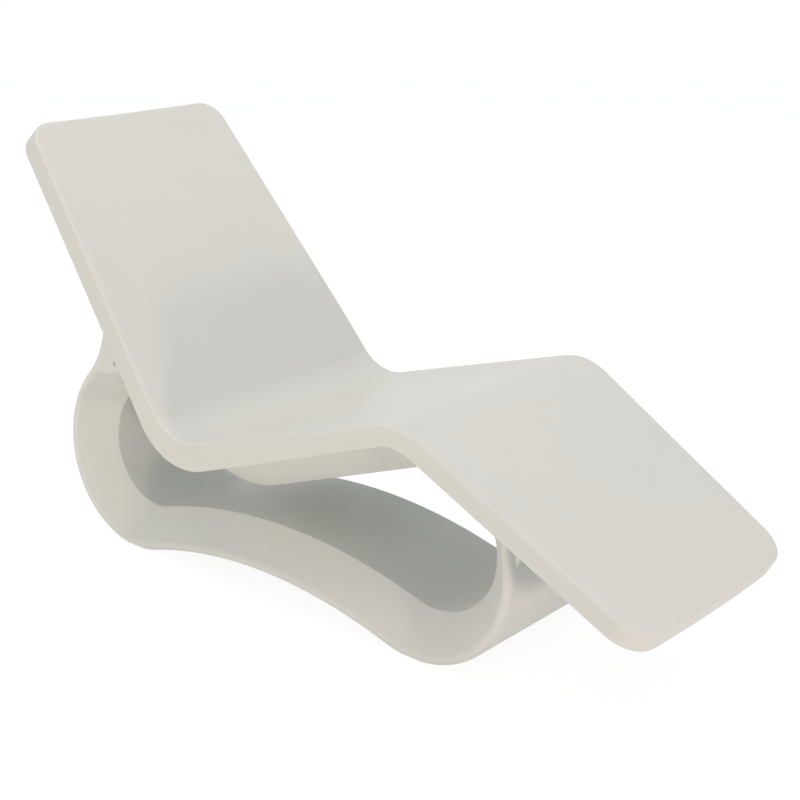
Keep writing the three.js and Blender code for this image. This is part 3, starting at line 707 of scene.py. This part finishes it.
def loop_stations(s, b):
    """Round the loop, clockwise in side view: outer and inner point of the band, and its kind."""
    p = shell_path(s)
    rear = lobe_centre(b, -b.rear_offset, b.rear_radius)
    front = lobe_centre(b, b.spacing - b.rear_offset, b.front_radius)
    tunnel = b.front_radius - b.front_band
    stations = []

    def add(outer, inner, free=False, deep=False, draw=0.0):
        """Adds a station. Free ones don't lie against the shell, deep ones have the neck's bevel,
        and each side draws in by the draw."""
        outer = Vector((outer.x, max(outer.y, b.sole_height)))
        stations.append(
            SimpleNamespace(outer=outer, inner=inner, free=free, deep=deep, draw=draw)
        )

    def add_ring(centre, radius, turns):
        for turn in turns:
            add(
                on_arc(centre, radius, turn), on_arc(centre, radius - b.band, turn), free=True
            )

    def round_arc(start, end):
        number = max(1, round(abs(end - start) / b.arc_step))
        return steps(start, end, number)

    def seat_at(run):
        at, up = path_at(s, p, run)
        return at - up * (thickness(s, p, run) + b.seat_gap)

    back_out = -left_of(p.back_down)

    def behind_back(at, depth):
        return back_out.dot(at - p.head) - depth

    # Rear lobe, with the ends of its sole.
    arch_radius, arch_centre = arch_under(b, rear, front)
    sole = math.asin(b.sole / 2 / b.rear_radius)
    arch_rear = turn_to(arch_centre, rear)
    add_ring(
        rear,
        b.rear_radius,
        round_arc(arch_rear - math.pi, -QUARTER + sole)
        + round_arc(-QUARTER + sole, -QUARTER - sole)
        + round_arc(-QUARTER - sole, -math.pi),
    )

    # Shoulder.
    shoulder = Vector((rear.x - b.rear_radius + b.shoulder_radius, rear.y))
    shoulder_end = math.pi - b.shoulder_turn
    add_ring(shoulder, b.shoulder_radius, round_arc(math.pi, shoulder_end))

    # Sweep up to the blunt tip, while the tunnel turns over below it.
    sweep_start = on_arc(shoulder, b.shoulder_radius, shoulder_end)
    sweep_heading = shoulder_end - QUARTER
    sweep_turn = math.pi - s.back_angle - sweep_heading
    sweep_radius = behind_back(sweep_start, s.back_thickness + b.seat_gap) / (
        1 - math.cos(sweep_turn)
    )
    sweep_centre = sweep_start + left_of(heading(sweep_heading)) * sweep_radius
    tip_turn = math.acos(1 - b.tip / sweep_radius)

    def sweep_at(share):
        turn = sweep_heading + (sweep_turn - tip_turn) * share - QUARTER
        return on_arc(sweep_centre, sweep_radius, turn)

    inner_start = on_arc(shoulder, b.shoulder_radius - b.band, shoulder_end)
    turn_over = sweep_heading + s.back_angle
    turn_radius = behind_back(inner_start, b.hip_depth) / (1 - math.cos(turn_over))
    turn_centre = inner_start - left_of(heading(sweep_heading)) * turn_radius

    def turn_at(share):
        return on_arc(turn_centre, turn_radius, sweep_heading + QUARTER - turn_over * share)

    for share in steps(0, 1, SWEEP_STATIONS, last=True):
        add(sweep_at(share), turn_at(share * TIP_SHARE), free=True, deep=True)
    tip_run = -p.back_down.dot(p.head - sweep_at(1))
    for share in steps(0, 1, BACK_STATIONS):
        turned = (share * BACK_STATIONS + 1) / (BACK_STATIONS + 1)
        add(
            seat_at(mix(tip_run, p.seat_start, share)),
            turn_at(mix(TIP_SHARE, 1, turned)),
            deep=True,
        )

    # Round the seat bend, and under the seat.
    hip = s.seat_radius + b.hip_depth
    front_top = Vector((front.x + tunnel - b.ceiling_radius, front.y))
    apart = front_top - p.seat_centre
    ceiling = math.atan2(apart.y, apart.x) + math.asin((hip + b.ceiling_radius) / apart.length)
    for share in steps(0, 1, HIP_STATIONS):
        turn = mix(-s.back_angle - QUARTER, ceiling - QUARTER, share)
        add(seat_at(mix(p.seat_start, p.seat_end, share)), on_arc(p.seat_centre, hip, turn))
    start = p.seat_centre - left_of(heading(ceiling)) * hip
    stop = front_top + left_of(heading(ceiling)) * b.ceiling_radius
    for share in steps(0, 1, SEAT_STATIONS):
        add(
            seat_at(mix(p.seat_end, p.knee_start, share)),
            start.lerp(stop, share),
            draw=b.front_draw * share,
        )

    # Round the knee bend and down the leg rest to where the front lobe leaves it.
    def front_inner(turn):
        if turn > 0:
            return on_arc(front_top, b.ceiling_radius, turn)
        return on_arc(front, tunnel, turn)

    knee_inner = ceiling + QUARTER
    leave = on_arc(front, b.front_radius, b.leave_angle)
    leave_run = p.knee_end + p.leg_down.dot(leave - p.knee - p.leg_down * p.knee_tangent)
    for share in steps(0, 1, KNEE_STATIONS):
        turn = mix(knee_inner, b.leave_angle, share * KNEE_SHARE)
        add(seat_at(mix(p.knee_start, p.knee_end, share)), front_inner(turn), draw=b.front_draw)
    for share in steps(0, 1, LEG_STATIONS):
        turn = mix(knee_inner, b.leave_angle, mix(KNEE_SHARE, 1, share))
        add(seat_at(mix(p.knee_end, leave_run, share)), front_inner(turn), draw=b.front_draw)

    # Front lobe, and the arch.
    sole = math.asin(b.sole / 2 / b.front_radius)
    arch_front = turn_to(arch_centre, front)
    for turn in (
        round_arc(b.leave_angle, -QUARTER + sole)
        + round_arc(-QUARTER + sole, -QUARTER - sole)
        + round_arc(-QUARTER - sole, arch_front - math.pi)
    ):
        add(
            on_arc(front, b.front_radius, turn),
            front_inner(turn),
            free=True,
            draw=b.front_draw * smooth(turn / b.front_draw_turn),
        )
    for share in steps(0, 1, ARCH_STATIONS):
        turn = mix(arch_front, arch_rear, share)
        inner = arch_radius + mix(b.front_band, b.band, share)
        add(on_arc(arch_centre, arch_radius, turn), on_arc(arch_centre, inner, turn), free=True)
    return stations


def bevel_foot(b, across, down):
    """Turn at which the bevel leaves the rounded edge, to run straight to the tunnel's edge, which
    lies this far across and down from the rounding's centre."""
    return math.atan2(down, across) - math.acos(b.edge_radius / math.hypot(across, down))


def half_section(b, station):
    """Half of the section, from the middle of the tunnel's face to the middle of the outer face."""
    across = (station.outer - station.inner).length
    depth = across
    if station.deep:
        rise = (b.neck_line - station.inner.y) / (station.outer.y - station.inner.y)
        depth = min(across, max(b.neck_band, rise * across))
    behind = across - depth
    side = b.width / 2 - station.draw
    centre = side - b.edge_radius
    edge = b.tunnel_width / 2
    foot = bevel_foot(b, edge - centre, depth - b.edge_radius)
    section = [
        (0.0, across),
        (edge - b.inner_edge, across),
        (edge + b.inner_edge * math.sin(foot), across - b.inner_edge * math.cos(foot)),
    ]
    for turn in steps(foot, 0, NOSE_STEPS, last=True):
        section.append(
            (
                centre + b.edge_radius * math.cos(turn),
                behind + b.edge_radius * (1 + math.sin(turn)),
            )
        )
    for i in range(OUTER_STEPS + 1):
        if station.free:
            turn = QUARTER * i / OUTER_STEPS
            section.append(
                (
                    centre + b.edge_radius * math.cos(turn),
                    b.edge_radius * (1 - math.sin(turn)),
                )
            )
        else:
            out = mix(side, centre, max(0, i - 1) / OUTER_STEPS)
            section.append((out, 0.0 if i else b.edge_radius))
    section.append((0.0, 0.0))
    return section


def section_points(b, station):
    inward = (station.inner - station.outer).normalized()
    points = []
    for y, depth in half_section(b, station):
        at = station.outer + inward * depth
        points.append(Vector((at.x, -y, at.y)))
    return points


def carry_section(obj, chain, points):
    """Moves the selected copy of the section into place: turned and moved as a whole first, then
    the points that the new section has elsewhere."""
    here = [v.co.copy() for v in chain]
    bpy.ops.transform.translate(value=points[-1] - here[-1])
    old = here[0] - here[-1]
    new = points[0] - points[-1]
    turn = math.atan2(new.z, new.x) - math.atan2(old.z, old.x)
    turn_up(math.remainder(turn, 2 * math.pi), tuple(points[-1]))
    groups = {}
    for v, to in zip(chain, points):
        step = to - v.co
        if step.length > SAME_PLACE:
            key = tuple(round(c / LEVEL) for c in step)
            groups.setdefault(key, []).append(v)
    for key, chosen in groups.items():
        choose_only(obj, chosen)
        bpy.ops.transform.translate(value=Vector(key) * LEVEL)
    choose_only(obj, chain)


def model_base(s, b, shift):
    stations = loop_stations(s, b)
    sections = [section_points(b, station) for station in stations]
    number = len(sections[0])
    bpy.ops.mesh.primitive_grid_add(x_subdivisions=number - 1, y_subdivisions=1, size=1)
    obj = start_piece("loop_base_skin")
    choose(obj, lambda v: v.co.y > 0)
    bpy.ops.mesh.delete(type="VERT")
    bm = bmesh.from_edit_mesh(obj.data)
    place = bm.verts.layers.int.new("place")
    chain = sorted(bm.verts, key=lambda v: v.co.x)
    for i, v in enumerate(chain):
        v[place] = i
    choose_only(obj, chain)
    carry_section(obj, chain, sections[0])
    for points in sections[1:] + sections[:1]:
        bpy.ops.mesh.extrude_region_move()
        bm = bmesh.from_edit_mesh(obj.data)
        place = bm.verts.layers.int["place"]
        chain = sorted((v for v in bm.verts if v.select), key=lambda v: v[place])
        carry_section(obj, chain, points)
    bpy.ops.mesh.select_all(action="SELECT")
    bpy.ops.mesh.remove_doubles(threshold=MERGE)
    bpy.ops.mesh.select_all(action="SELECT")
    move(x=shift)
    bpy.ops.object.mode_set(mode="OBJECT")
    mirror = obj.modifiers.new("other side", "MIRROR")
    mirror.use_axis = (False, True, False)
    apply_all(obj)
    bpy.ops.object.mode_set(mode="EDIT")
    close_up()
    return obj


def model_web(s, b, shift, side):
    """One web between the front lobe and the leg rest: a plate cut to its outline, with its edges
    rounded."""
    p = shell_path(s)
    front = lobe_centre(b, b.spacing - b.rear_offset, b.front_radius)
    tip = on_arc(front, b.front_radius, math.asin(b.web_drop / b.front_radius))
    under = p.knee - left_of(p.leg_down) * (s.leg_thickness + b.seat_gap)
    leave = on_arc(front, b.front_radius, b.leave_angle)
    block = b.web_reach * 4
    bpy.ops.mesh.primitive_cube_add(size=1)
    obj = start_piece("web_right" if side < 0 else "web_left")
    bpy.ops.mesh.select_all(action="SELECT")
    scale(block, b.web_thickness, block)
    outer = b.width / 2 - b.web_inset - b.web_thickness / 2
    move(tip.x, side * outer, tip.y + b.web_reach)
    corner = Vector((tip.x + b.web_reach, 0.0))
    corner.y = under.y + (corner.x - under.x) * math.tan(-s.leg_angle)
    for at, out in (
        (under, left_of(p.leg_down)),
        (tip, -left_of(corner - tip)),
        (tip, left_of(leave - tip)),
    ):
        bpy.ops.mesh.select_all(action="SELECT")
        bpy.ops.mesh.bisect(
            plane_co=(at.x, 0.0, at.y),
            plane_no=(out.x, 0.0, out.y),
            use_fill=True,
            clear_outer=True,
        )
    bpy.ops.mesh.select_mode(type="EDGE")
    bpy.ops.mesh.select_all(action="SELECT")
    bpy.ops.mesh.bevel(offset=b.web_round, segments=2)
    bpy.ops.mesh.select_mode(type="VERT")
    bpy.ops.mesh.select_all(action="SELECT")
    move(x=shift)
    close_up()
    return obj


def combine(obj, others, operation):
    """Joins other solids to a piece or takes them out of it, and removes them."""
    for other in others:
        step = obj.modifiers.new("with " + other.name, "BOOLEAN")
        step.operation = operation
        step.solver = "EXACT"
        step.object = other
    apply_all(obj)
    for other in others:
        bpy.data.objects.remove(other)


def round_cutter(middle, radius, depth, along_y=False):
    bpy.ops.object.select_all(action="DESELECT")
    bpy.ops.mesh.primitive_cylinder_add(
        vertices=ROUND_SIDES,
        radius=radius,
        depth=depth,
        location=middle,
        rotation=(QUARTER if along_y else 0.0, 0.0, 0.0),
    )
    bpy.ops.object.transform_apply(location=True, rotation=True, scale=True)
    return bpy.context.object


def let_in(b, obj):
    """Recesses for the foot pads and the bore of the vent plug, a clearance wider than they are."""
    cutters = []
    for node in PADS:
        low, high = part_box(node)
        cutters.append(
            round_cutter(
                (low + high) / 2,
                (high.x - low.x) / 2 + b.seat_gap,
                high.z - low.z + 2 * b.seat_gap,
            )
        )
    low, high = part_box(PLUG)
    middle = (low + high) / 2
    middle.y = low.y
    cutters.append(
        round_cutter(middle, (high.x - low.x) / 2 + b.seat_gap, 2 * (high.y - low.y), True)
    )
    combine(obj, cutters, "DIFFERENCE")


def finish_surface(obj, limit):
    """Smooth faces, with edges that turn by more than the limit left sharp."""
    select_only(obj)
    bpy.ops.object.shade_smooth_by_angle(angle=limit)
    weighted = obj.modifiers.new("even normals", "WEIGHTED_NORMAL")
    weighted.keep_sharp = True
    weighted.weight = NORMAL_WEIGHT
    apply_all(obj)


# Materials. Pattern sizes are in metres, and a range is what a noise runs from and to, and becomes.

CLOUD_SIZE = 0.42
BLOTCH_SIZE = 0.060
PEEL_SIZE = 0.009
SCUFFED_AREA_SIZE = 0.15
SCUFF_TURN = (0.35, 0.9, 0.5)
SCUFF_STRETCH = (9.0, 160.0, 160.0)
CLOUD_SHARE = 0.65
GRAIN_SHARE = 0.45
WAVE_RANGE = (0.30, 0.70, -1.0, 1.0)
SPECK_RANGE = (0.30, 0.70, -0.35, 0.35)
WARMTH_RANGE = (0.35, 0.65, 0.0, 1.0)
ROUGHNESS_RANGE = (0.30, 0.70, -0.05, 0.05)
SCUFF_RANGE = (0.70, 0.76, 0.0, 1.0)
SCUFFED_AREA_RANGE = (0.52, 0.66, 0.0, 1.0)
SCUFF_DARKNESS = 0.02
SCUFF_ROUGHNESS = 0.12
SCUFF_DEPTH = 0.15
COOL_TINT = (0.994, 1.003, 1.003, 1.0)
WARM_TINT = (1.005, 0.998, 0.996, 1.0)
RUBBER_CLOUDS = 9
RUBBER_LEVEL_RANGE = (0.3, 0.7, 0.88, 1.12)
RUBBER_ROUGHNESS_RANGE = (0.3, 0.7, 0.62, 0.80)


def node(tree, kind, inputs=(), **settings):
    """A node with its settings, and its inputs set or linked by name or number."""
    made = tree.nodes.new(kind)
    for name, value in settings.items():
        setattr(made, name, value)
    for name, value in dict(inputs).items():
        if isinstance(value, bpy.types.NodeSocket):
            tree.links.new(value, made.inputs[name])
        else:
            made.inputs[name].default_value = value
    return made


def noise(tree, place, size, detail=2.0, roughness=0.5):
    """Noise on a place in metres, whose blotches have about this size."""
    return node(
        tree,
        "ShaderNodeTexNoise",
        {"Vector": place, "Scale": 1 / size, "Detail": detail, "Roughness": roughness},
    ).outputs["Fac"]


def spread_over(tree, value, from_low, from_high, to_low, to_high):
    return node(
        tree,
        "ShaderNodeMapRange",
        {0: value, 1: from_low, 2: from_high, 3: to_low, 4: to_high},
        clamp=True,
    ).outputs[0]


def maths(tree, operation, a, b):
    return node(tree, "ShaderNodeMath", {0: a, 1: b}, operation=operation).outputs[0]


def weighted_sum(tree, a, b, share):
    """Sum of two values, the first at this share and the second at the rest."""
    first = maths(tree, "MULTIPLY", a, share)
    return maths(tree, "ADD", first, maths(tree, "MULTIPLY", b, 1 - share))


def multiplied(tree, a, b):
    """Product of two colours."""
    return node(
        tree,
        "ShaderNodeMix",
        {0: 1.0, 6: a, 7: b},
        data_type="RGBA",
        blend_type="MULTIPLY",
    ).outputs[2]


def socket(group, name, way, kind="NodeSocketFloat", default=None):
    made = group.interface.new_socket(name, in_out=way, socket_type=kind)
    if default is not None:
        made.default_value = default


def moulded_surface():
    """Node group: the skin of a rotational moulding. Soft mottling from the cooling, a fine grain
    with orange peel under it, and sparse hairline scuffs."""
    group = bpy.data.node_groups.new("moulded plastic skin", "ShaderNodeTree")
    socket(group, "Colour", "INPUT", "NodeSocketColor", (0.7, 0.7, 0.66, 1.0))
    socket(group, "Mottling", "INPUT", default=0.02)
    socket(group, "Roughness", "INPUT", default=0.5)
    socket(group, "Grain scale", "INPUT", default=450.0)
    socket(group, "Colour", "OUTPUT", "NodeSocketColor")
    socket(group, "Roughness", "OUTPUT")
    socket(group, "Height", "OUTPUT")
    given = node(group, "NodeGroupInput").outputs
    place = node(group, "ShaderNodeTexCoord").outputs["Object"]
    clouds = noise(group, place, CLOUD_SIZE, detail=3.0)
    blotches = noise(group, place, BLOTCH_SIZE, detail=4.0, roughness=0.6)
    grain = node(
        group,
        "ShaderNodeTexNoise",
        {"Vector": place, "Scale": given["Grain scale"], "Detail": 2.0, "Roughness": 0.55},
    ).outputs["Fac"]
    peel = noise(group, place, PEEL_SIZE, detail=1.0)
    stretched = node(
        group,
        "ShaderNodeMapping",
        {"Vector": place, "Rotation": SCUFF_TURN, "Scale": SCUFF_STRETCH},
    ).outputs["Vector"]
    strokes = node(
        group, "ShaderNodeTexNoise", {"Vector": stretched, "Scale": 1.0, "Detail": 2.0}
    ).outputs["Fac"]
    scuffs = spread_over(group, strokes, *SCUFF_RANGE)
    where = spread_over(group, noise(group, place, SCUFFED_AREA_SIZE), *SCUFFED_AREA_RANGE)
    scuffs = maths(group, "MULTIPLY", scuffs, where)
    # Colour: a little lighter and darker, warmer where the clouds are dense, darker in the scuffs.
    wave = spread_over(group, weighted_sum(group, clouds, blotches, CLOUD_SHARE), *WAVE_RANGE)
    wave = maths(group, "ADD", wave, spread_over(group, grain, *SPECK_RANGE))
    level = maths(group, "ADD", maths(group, "MULTIPLY", wave, given["Mottling"]), 1.0)
    level = maths(group, "SUBTRACT", level, maths(group, "MULTIPLY", scuffs, SCUFF_DARKNESS))
    warmth = spread_over(group, clouds, *WARMTH_RANGE)
    warm = node(
        group, "ShaderNodeMix", {0: warmth, 6: COOL_TINT, 7: WARM_TINT}, data_type="RGBA"
    ).outputs[2]
    colour_out = multiplied(group, multiplied(group, given["Colour"], level), warm)
    rough = spread_over(group, blotches, *ROUGHNESS_RANGE)
    rough = maths(group, "ADD", given["Roughness"], rough)
    rough = maths(group, "ADD", rough, maths(group, "MULTIPLY", scuffs, SCUFF_ROUGHNESS))
    height = weighted_sum(group, grain, peel, GRAIN_SHARE)
    height = maths(group, "SUBTRACT", height, maths(group, "MULTIPLY", scuffs, SCUFF_DEPTH))
    out = node(group, "NodeGroupOutput")
    for name, value in (("Colour", colour_out), ("Roughness", rough), ("Height", height)):
        group.links.new(value, out.inputs[name])
    return group


def new_material(name):
    """A material, its node tree and its shader."""
    material = bpy.data.materials.new(name)
    material.use_nodes = True
    return material, material.node_tree, material.node_tree.nodes["Principled BSDF"]


def plastic(name, base, mottling, finish):
    """Satin polyethylene over the moulded skin."""
    material, tree, shader = new_material(name)
    skin = bpy.data.node_groups.get("moulded plastic skin") or moulded_surface()
    surface = node(tree, "ShaderNodeGroup", node_tree=skin)
    surface.inputs["Colour"].default_value = (*base, 1.0)
    surface.inputs["Mottling"].default_value = mottling
    surface.inputs["Roughness"].default_value = finish.roughness
    surface.inputs["Grain scale"].default_value = 1 / finish.grain_size
    bump = node(
        tree,
        "ShaderNodeBump",
        {"Height": surface.outputs["Height"], "Distance": finish.grain_depth, "Strength": 1.0},
    )
    tree.links.new(surface.outputs["Colour"], shader.inputs["Base Color"])
    tree.links.new(surface.outputs["Roughness"], shader.inputs["Roughness"])
    tree.links.new(bump.outputs["Normal"], shader.inputs["Normal"])
    shader.inputs["IOR"].default_value = 1.50
    shader.inputs["Specular IOR Level"].default_value = 0.42
    return material


def rubber(name, base, size, depth):
    """Matt moulded rubber: a cloudy colour and a fine tooth."""
    material, tree, shader = new_material(name)
    place = node(tree, "ShaderNodeTexCoord").outputs["Object"]
    tooth = noise(tree, place, size, detail=3.0)
    level = spread_over(tree, noise(tree, place, size * RUBBER_CLOUDS), *RUBBER_LEVEL_RANGE)
    rough = spread_over(tree, tooth, *RUBBER_ROUGHNESS_RANGE)
    bump = node(tree, "ShaderNodeBump", {"Height": tooth, "Distance": depth})
    tree.links.new(multiplied(tree, (*base, 1.0), level), shader.inputs["Base Color"])
    tree.links.new(rough, shader.inputs["Roughness"])
    tree.links.new(bump.outputs["Normal"], shader.inputs["Normal"])
    return material


# The studio.

FLOOR_SIZE = 60
FLOOR_PAINT = (0.94, 0.94, 0.94, 1.0)
FLOOR_FAINT = (0.20, 0.20, 0.20, 1.0)
FLOOR_GLOW = 0.90
# Where each soft light hangs, and how wide it is.
ABOVE_PLACE, ABOVE_SIZE = (0.3, 0.0, 4.0), 4.5
FRONT_PLACE, FRONT_SIZE = (3.4, -0.9, 0.15), 0.4
SIDE_PLACE, SIDE_SIZE = (-0.8, -3.6, 0.65), 1.3


def seen_ray(tree):
    """One for the rays that show the background: the camera's, glossy and transmitted ones."""
    path = node(tree, "ShaderNodeLightPath").outputs
    shown = maths(tree, "MAXIMUM", path["Is Camera Ray"], path["Is Glossy Ray"])
    return maths(tree, "MAXIMUM", shown, path["Is Transmission Ray"])


def white_world(tint, strength):
    world = bpy.data.worlds.new("studio world")
    world.use_nodes = True
    tree = world.node_tree
    tree.nodes.clear()
    seen = seen_ray(tree)
    around = node(
        tree, "ShaderNodeBackground", {"Color": (*tint, 1.0), "Strength": strength}
    )
    white = node(tree, "ShaderNodeBackground", {"Color": (1, 1, 1, 1), "Strength": 1.0})
    chosen = node(
        tree, "ShaderNodeMixShader", {0: seen, 1: around.outputs[0], 2: white.outputs[0]}
    )
    out = node(tree, "ShaderNodeOutputWorld")
    tree.links.new(chosen.outputs[0], out.inputs["Surface"])
    bpy.context.scene.world = world


def floor_paint():
    """White to the camera, with a faint shadow; pale to all other rays."""
    material, tree, _ = new_material("studio floor")
    tree.nodes.clear()
    seen = seen_ray(tree)
    paint = node(tree, "ShaderNodeBsdfDiffuse", {"Color": FLOOR_PAINT})
    faint = node(tree, "ShaderNodeBsdfDiffuse", {"Color": FLOOR_FAINT})
    glow = node(tree, "ShaderNodeEmission", {"Color": (1, 1, 1, 1), "Strength": FLOOR_GLOW})
    shown = node(tree, "ShaderNodeAddShader", {0: faint.outputs[0], 1: glow.outputs[0]})
    chosen = node(
        tree, "ShaderNodeMixShader", {0: seen, 1: paint.outputs[0], 2: shown.outputs[0]}
    )
    out = node(tree, "ShaderNodeOutputMaterial")
    tree.links.new(chosen.outputs[0], out.inputs["Surface"])
    return material


def soft_light(name, place, aim, size, tint, power):
    data = bpy.data.lights.new(name, "AREA")
    data.shape = "DISK"
    data.size = size
    data.color = tint
    data.energy = power
    light = bpy.data.objects.new(name, data)
    light.location = place
    light.rotation_euler = (Vector(aim) - Vector(place)).to_track_quat("-Z", "Y").to_euler()
    bpy.context.scene.collection.objects.link(light)
    return light


# Operators, panel and run.


def settings():
    scene = bpy.context.scene
    return scene.lounger_shell, scene.lounger_base, scene.lounger_finish, scene.lounger_stage


def frame_shift(b):
    """The pads stand under the lobes' centres, which places the side view in the frame."""
    low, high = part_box(PADS[0])
    return (low.x + high.x) / 2 + b.rear_offset


class LOUNGER_OT_shell(bpy.types.Operator):
    """Models the lounging shell"""

    bl_idname = "lounger.shell"
    bl_label = "Lounging shell"

    def execute(self, context):
        s, b, finish, _ = settings()
        bpy.ops.object.select_all(action="DESELECT")
        obj = model_shell(s, frame_shift(b))
        finish_surface(obj, SHELL_CREASE)
        obj.data.materials.append(
            plastic("shell plastic", finish.shell_colour, SHELL_MOTTLING, finish)
        )
        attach(obj, "root")
        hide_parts("lounging_shell")
        return {"FINISHED"}


class LOUNGER_OT_base(bpy.types.Operator):
    """Models the loop base with its webs, pad recesses and vent bore"""

    bl_idname = "lounger.base"
    bl_label = "Loop base"

    def execute(self, context):
        s, b, finish, _ = settings()
        bpy.ops.object.select_all(action="DESELECT")
        shift = frame_shift(b)
        obj = model_base(s, b, shift)
        webs = []
        for side in (-1, 1):
            bpy.ops.object.select_all(action="DESELECT")
            webs.append(model_web(s, b, shift, side))
        combine(obj, webs, "UNION")
        let_in(b, obj)
        finish_surface(obj, BASE_CREASE)
        # The base's colour is lighter than the shell's. Part is its own tone, and part is painted
        # light that makes up for the shade under the shell.
        obj.data.materials.append(
            plastic("base plastic", finish.base_colour_with_painted_light, BASE_MOTTLING, finish)
        )
        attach(obj, "root")
        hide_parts("loop_base")
        return {"FINISHED"}


class LOUNGER_OT_trim(bpy.types.Operator):
    """Gives the vent plug and the foot pads their rubber"""

    bl_idname = "lounger.trim"
    bl_label = "Plug and pads"

    def execute(self, context):
        finish = settings()[2]
        plug = rubber("plug rubber", finish.plug_colour, *PLUG_TOOTH)
        pad = rubber("pad rubber", finish.pad_colour, *PAD_TOOTH)
        for name in (PLUG, *PADS):
            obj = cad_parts[name]
            obj.data.materials.clear()
            obj.data.materials.append(plug if name == PLUG else pad)
        return {"FINISHED"}


class LOUNGER_OT_stage(bpy.types.Operator):
    """Sets up the floor, the lights and the camera"""

    bl_idname = "lounger.stage"
    bl_label = "Studio"

    def execute(self, context):
        stage = settings()[3]
        bpy.ops.object.select_all(action="DESELECT")
        bpy.ops.mesh.primitive_plane_add(size=FLOOR_SIZE)
        floor = bpy.context.object
        floor.name = "studio_floor"
        floor.data.materials.append(floor_paint())
        aim = (0.0, 0.0, 0.4)
        for name, place, size, tint, strength in (
            ("light_above", ABOVE_PLACE, ABOVE_SIZE, stage.above_colour, stage.above_power),
            ("light_front", FRONT_PLACE, FRONT_SIZE, stage.front_colour, stage.front_power),
            ("light_side", SIDE_PLACE, SIDE_SIZE, stage.side_colour, stage.side_power),
        ):
            soft_light(name, place, aim, size, tint, strength)
        white_world(stage.world_colour, stage.world_strength)
        data = bpy.data.cameras.new("camera")
        data.sensor_width = 36
        data.lens = stage.lens
        data.clip_end = 100
        camera = bpy.data.objects.new("camera", data)
        camera.location = stage.camera
        camera.rotation_euler = (QUARTER - stage.camera_drop, 0.0, stage.camera_turn)
        context.scene.collection.objects.link(camera)
        context.scene.camera = camera
        context.scene.view_settings.view_transform = "Standard"
        return {"FINISHED"}


class LOUNGER_PT_panel(bpy.types.Panel):
    """Steps of the lounger's modelling"""

    bl_idname = "LOUNGER_PT_panel"
    bl_label = "Sun lounger"
    bl_space_type = "VIEW_3D"
    bl_region_type = "UI"
    bl_category = "Lounger"

    def draw(self, context):
        for group, step in zip(settings(), OPERATORS):
            box = self.layout.box()
            box.operator(step.bl_idname)
            for name in group.__annotations__:
                box.prop(group, name)


GROUPS = {
    "lounger_shell": LoungerShellSizes,
    "lounger_base": LoungerBaseSizes,
    "lounger_finish": LoungerFinish,
    "lounger_stage": LoungerStage,
}
OPERATORS = (LOUNGER_OT_shell, LOUNGER_OT_base, LOUNGER_OT_trim, LOUNGER_OT_stage)


def register():
    for name, group in GROUPS.items():
        bpy.utils.register_class(group)
        setattr(bpy.types.Scene, name, bpy.props.PointerProperty(type=group))
    for operator in (*OPERATORS, LOUNGER_PT_panel):
        bpy.utils.register_class(operator)


def unregister():
    for operator in (*OPERATORS, LOUNGER_PT_panel):
        bpy.utils.unregister_class(operator)
    for name, group in GROUPS.items():
        delattr(bpy.types.Scene, name)
        bpy.utils.unregister_class(group)


def main():
    register()
    bpy.ops.lounger.shell()
    bpy.ops.lounger.base()
    bpy.ops.lounger.trim()
    bpy.ops.lounger.stage()


if __name__ == "__main__":
    main()
